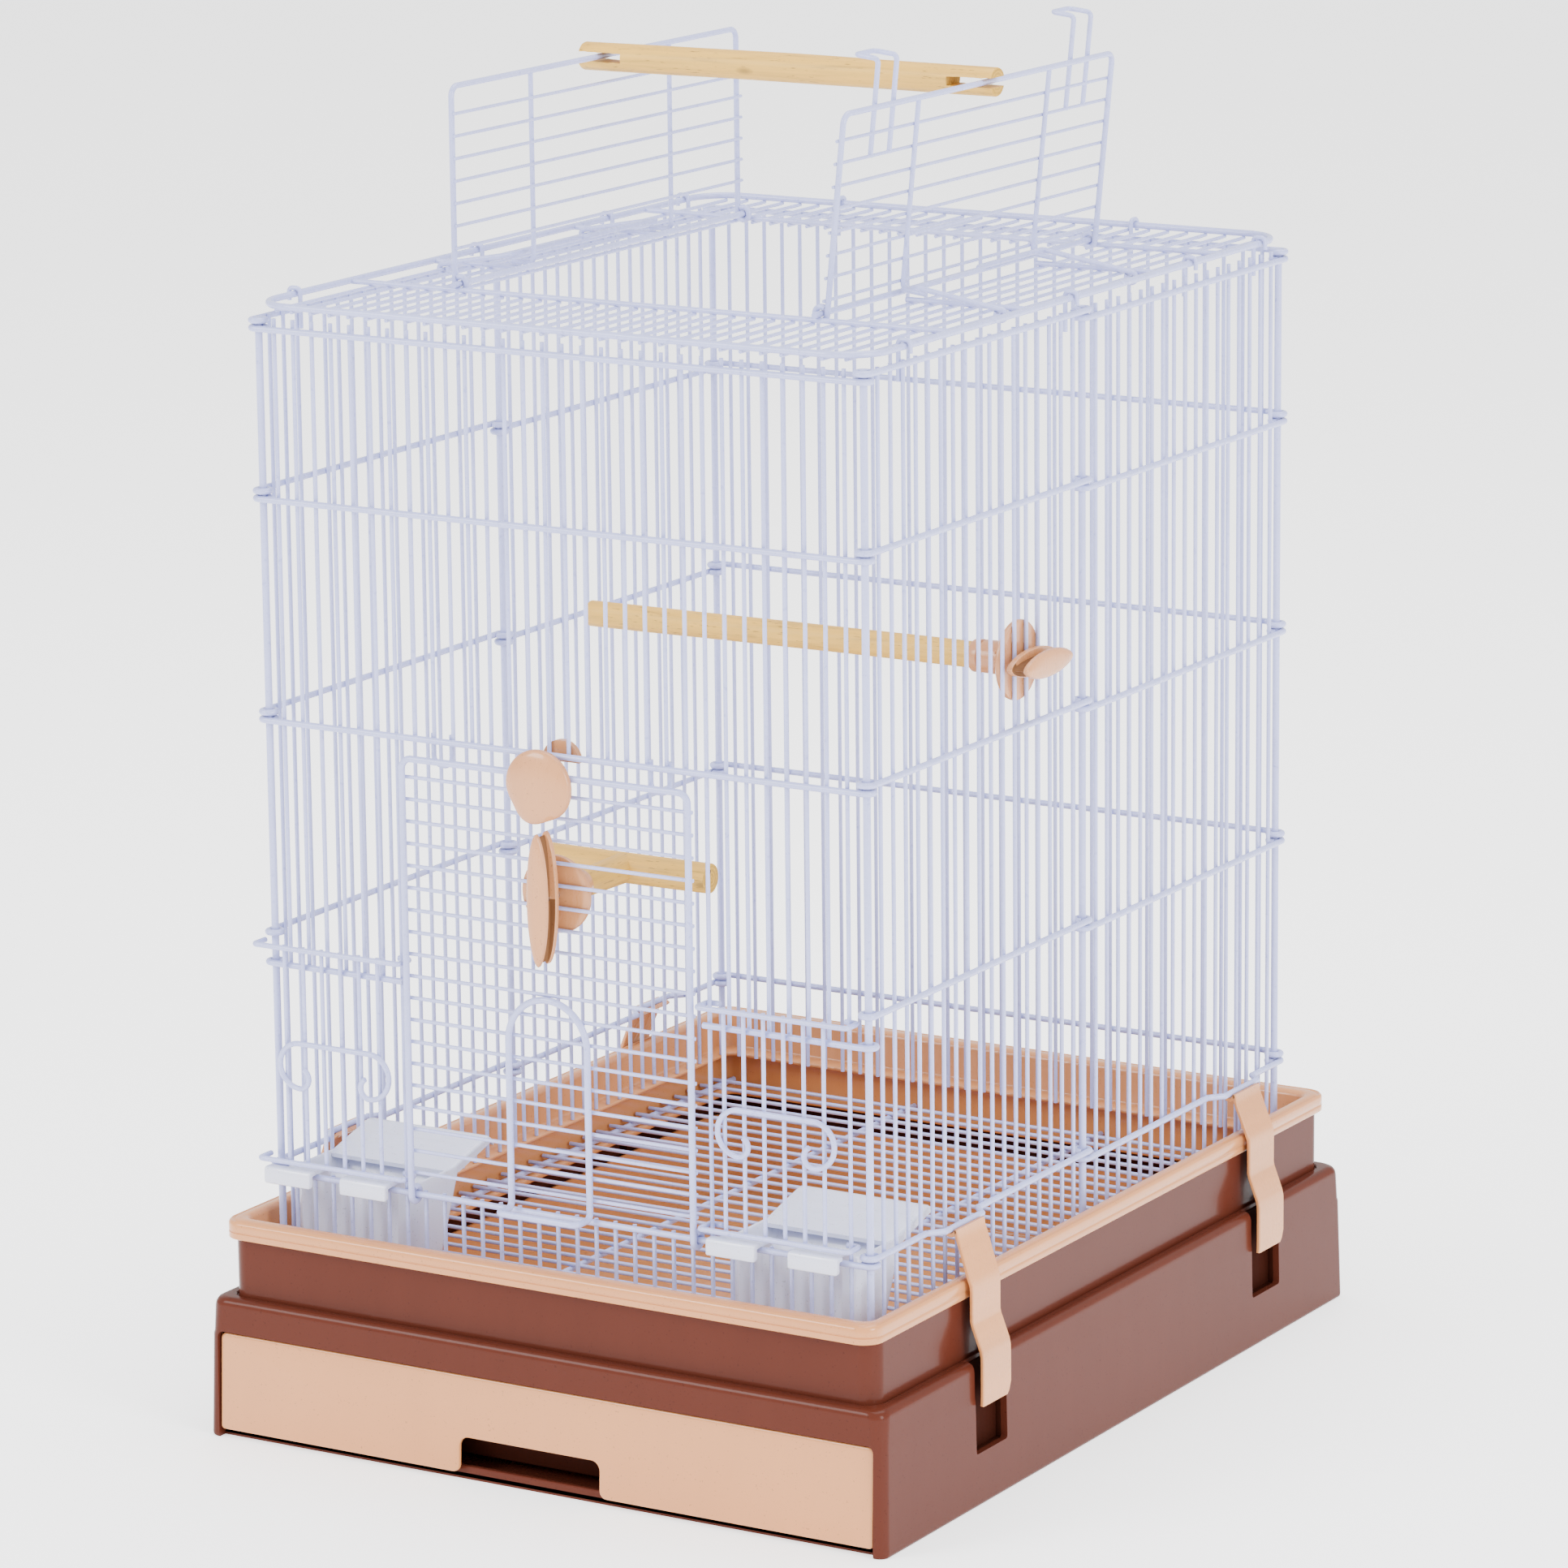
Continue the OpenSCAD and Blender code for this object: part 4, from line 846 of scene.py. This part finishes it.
def flange(name, node, body, disc_r, neck_r, deep, facing):
    """Dished disc with a rim bead and fins towards the wires, and a ringed socket for the perch"""
    lo, hi = mm_box(node)
    centre = (lo + hi) / 2
    profile = ((0.0, 0.2), (disc_r - 4, 0.2), (disc_r - 1.2, 0.0), (disc_r - 0.3, 0.3), (disc_r, 1.2),
               (disc_r - 0.2, 2.4), (disc_r - 1.1, 3.2), (disc_r - 2.4, 3.3), (disc_r - 3.4, 2.8),
               (neck_r + 3.0, 3.4), (neck_r + 1.0, 4.4), (neck_r + 0.2, 6.2), (neck_r, 9.0),
               (neck_r - 0.1, deep - 6.0), (neck_r - 0.9, deep - 5.6), (neck_r - 0.9, deep - 4.9),
               (neck_r - 0.1, deep - 4.5), (neck_r, deep - 1.2), (neck_r - 0.5, deep - 0.3),
               (neck_r - 1.2, deep), (neck_r - 1.8, deep - 0.4), (neck_r - 2.0, deep - 2.0),
               (0.0, deep - 2.2))
    # a fin's outline as (radius, height), and half its thickness
    fin = ((neck_r - 1.0, 3.0), (disc_r - 3.0, 2.9), (disc_r - 4.5, 4.6), (neck_r + 1.5, 8.6),
           (neck_r - 1, 10.0))
    half = 0.7
    fins = []
    for k in range(6):
        c, s = math.cos(math.pi * k / 6), math.sin(math.pi * k / 6)
        for sign in (1, -1):
            fins.append(solid([[(sign * (r * c) - off * s, sign * (r * s) + off * c, z) for r, z in fin]
                               for off in (-half, half)]))
    if facing == "back":
        start, spin = (centre.x, lo.y, centre.z), TURN_TO_BACK
    else:
        start, spin = (hi.x, centre.y, centre.z), TURN_TO_LEFT
    piece = make(name, *join(lathe(profile, 48), *fins), holder, start, spin, crease=34)
    part(piece, body, "holder_plastic", node)


def knob():
    """Crowned teardrop whose tail hangs to the lower left, on a spindle"""
    lo, hi = mm_box("door_knob")
    x = (lo.x + hi.x) / 2
    steps, tail, waist = 64, math.radians(20), 0.62
    outline = []
    for k in range(steps):
        a = 2 * math.pi * k / steps
        turn = a + math.pi / 2 + tail
        r = KNOB_R + KNOB_TAIL * max(0.0, math.cos(turn)) ** 7
        r -= KNOB_WAIST * max(0.0, math.cos(turn - waist)) ** 12
        r -= KNOB_WAIST * max(0.0, math.cos(turn + waist)) ** 12
        outline.append((r * math.cos(a), r * math.sin(a)))
    face_y = lo.y + 6.0
    head = crown(outline, [(share, share, height) for share, height in KNOB_LEVELS])
    part(make("door_knob_head", *head, holder, (x, face_y, KNOB_Z), TURN_TO_FRONT, crease=50),
         "door_knob", "holder_plastic", "door_knob")
    stem = lathe(((0.0, 0.0), (2.5, 0.0), (2.5, 8.2), (2.1, 8.9), (0.0, 9.0)), 28)
    part(make("door_knob_spindle", *stem, holder, (x, face_y - 1.0, KNOB_Z), TURN_TO_BACK, crease=40),
         "door_knob", "holder_plastic")


wing_nut("door_perch_wing_nut", "door_perch_nut", 5.65, 31.2, "front")
wing_nut("upper_perch_wing_nut", "upper_perch_nut", 6.4, 22.2, "right")
flange("door_perch_holder", "door_perch_flange", "front_door", 18.4, 7.7, 22.0, "back")
flange("upper_perch_holder", "upper_perch_flange", "cage", 18.9, 7.9, 24.0, "left")
knob()


# --- Perches ---

STICK_SIDES, STICK_END, STICK_SLACK = 36, 0.6, 0.35
CUT_WOOD_NORMAL = 0.75     # faces that look along the stick more than this show end grain
SLOT_HEIGHTS, SLOT_DEEP, SLOT_RISE = (636.3, 635.46), 24.0, 2.3


def stick(radius, length, axis_steps, seed, wobble):
    """Round stick along +X from 0 to length with a slight swell and bend; returns rings of points"""
    rng = random.Random(seed)
    phases = [rng.uniform(0, 2 * math.pi) for _ in range(6)]
    end = STICK_END
    places = [0.0, end * 0.35, end]
    places += [end + (length - 2 * end) * k / axis_steps for k in range(1, axis_steps)]
    places += [length - end, length - end * 0.35, length]
    rings = []
    for i, x in enumerate(places):
        edge = 1.0
        if i in (0, len(places) - 1):
            edge = 1 - end / radius
        elif i in (1, len(places) - 2):
            edge = 1 - 0.3 * end / radius
        swell = 1 + wobble * (0.5 * math.sin(x / 31 + phases[0]) + 0.5 * math.sin(x / 13 + phases[1]))
        dy = 0.25 * math.sin(x / 60 + phases[2])
        dz = 0.25 * math.sin(x / 47 + phases[3])
        ring = []
        for k in range(STICK_SIDES):
            a = 2 * math.pi * k / STICK_SIDES
            r = (radius - STICK_SLACK) * edge * (swell + 0.012 * math.sin(3 * a + phases[4] + x / 90)
                                                 + 0.006 * math.sin(7 * a + phases[5] + x / 25))
            ring.append((x, dy + r * math.cos(a), dz + r * math.sin(a)))
        rings.append(ring)
    return rings


def end_faces(obj):
    """Gives faces that look along the stick their cut-wood material"""
    obj.data.materials.append(wood_cut)
    for face in obj.data.polygons:
        if abs(face.normal.x) > CUT_WOOD_NORMAL:
            face.material_index = 1


def roof_perch():
    """Stick with a rough-sided slot along each end, which takes a flap's top wire"""
    lo, hi = mm_box("top_perch")
    start = (lo.x, (lo.y + hi.y) / 2, (lo.z + hi.z) / 2)
    length = hi.x - lo.x
    rings = stick((hi.z - lo.z) / 2, length, 40, 5, 0.015)
    piece = make("roof_perch", *solid(rings), wood_x, start, crease=40)
    left_z, right_z = SLOT_HEIGHTS
    rng = random.Random(11)
    steps = 12
    for x0, x1, slot_z in ((-1, SLOT_DEEP, left_z), (length - SLOT_DEEP, length + 1, right_z)):
        z = slot_z - start[2]
        top = [(x0 + (x1 - x0) * k / steps, z + SLOT_RISE + rng.uniform(-0.25, 0.15))
               for k in range(steps + 1)]
        low = [(x, z - SLOT_RISE - rng.uniform(-0.25, 0.15)) for x, _ in reversed(top)]
        verts, faces = prism(low + top, -20, 20)
        cut(piece, make("slot", [(x, y, z) for x, z, y in verts], faces, wood_cut, start))
    smooth(piece, 40)
    end_faces(piece)
    part(piece, "top_perch", "perch_wood", "top_perch")


def inner_perch():
    lo, hi = mm_box("upper_perch")
    start = (lo.x, (lo.y + hi.y) / 2, (lo.z + hi.z) / 2)
    rings = stick((hi.z - lo.z) / 2, hi.x - lo.x, 34, 8, 0.012)
    piece = make("inner_perch", *solid(rings), wood_x, start, crease=40)
    end_faces(piece)
    part(piece, "cage", "perch_wood", "upper_perch")


def door_perch():
    """Bar on a stem, whose saddle wraps part of the bar with its edge standing proud like a ring"""
    lo, hi = mm_box("door_perch")
    r = (hi.z - lo.z) / 2
    x, bar_y, z = (lo.x + hi.x) / 2, hi.y - r, (lo.z + hi.z) / 2
    rings = stick(r, hi.x - lo.x, 20, 3, 0.012)
    bar = make("door_perch_bar", *solid(rings), wood_x, (lo.x, bar_y, z), crease=40)
    end_faces(bar)
    part(bar, "front_door", "perch_wood", "door_perch")
    stem_length, saddle_from, sides = bar_y - lo.y, 0.85, 32
    rings = []
    for t, radius in ((0.0, 5.9), (0.03, 6.3), (0.3, 6.6), (0.6, 6.8), (0.8, 6.95), (0.92, 7.1), (1.0, 7.2)):
        ring = []
        for k in range(sides):
            a = 2 * math.pi * k / sides
            u, v = radius * math.cos(a), radius * math.sin(a)
            y = stem_length * t
            if t > saddle_from:
                y = min(y, stem_length - math.sqrt(max(0.0, r * r - v * v)) + 2.0)
            ring.append((u, y, v))
        rings.append(ring)
    part(make("door_perch_stem", *solid(rings), wood_y, (x, lo.y, z), crease=40), "front_door", "perch_wood")
    # dark pith on the bar's right end
    pith = lathe(((0.0, 0.0), (1.1, 0.0), (1.25, 0.12), (0.9, 0.22), (0.0, 0.1)), 16)
    part(make("door_perch_pith", *pith, shade_and_pith_brown, (hi.x - 0.12, bar_y - 1.5, z + 3.4), TURN_TO_RIGHT),
         "front_door", "perch_wood")


roof_perch()
inner_perch()
door_perch()


# --- Wires and small parts that keep their CAD shape ---

SLOT_PAINTS = {"wire": wire_coat, "bolt_steel": bolt_steel, "holder_plastic": holder, "perch_wood": wood_x,
               "cup_plastic": cup_white, "tan_plastic": tan, "base_plastic": brown}
slot_of = {subpart["node"]: subpart["material_slot"] for subpart in frame["record"]["subparts"]}

for name in frame["nodes"]:
    obj = bpy.data.objects.get(name)
    if obj is None or obj.type != "MESH":
        continue
    paint = SLOT_PAINTS[slot_of[name]]
    if not obj.data.materials:
        obj.data.materials.append(paint)
    for material_slot in obj.material_slots:
        material_slot.material = paint


# --- Floor ---

FLOOR_SIZE, FLOOR_GLOW = 80, 1.2     # metres, emission strength


def floor_paint():
    """Pale and slightly glowing, so that it stays near white like the background"""
    p = Paint("floor_paint", 0.6, level=0.2)
    p.set("Emission Color", (1, 1, 1, 1))
    p.set("Emission Strength", FLOOR_GLOW)
    tone = p.ramp(p.noise(3, detail=2), [(0.3, (0.95, 0.95, 0.95)), (0.7, (0.97, 0.97, 0.97))])
    return p.finish(tone)


bpy.ops.mesh.primitive_plane_add(size=FLOOR_SIZE, location=(0, 0, 0))
floor = bpy.context.object
floor.name = "floor"
floor.data.materials.append(floor_paint())
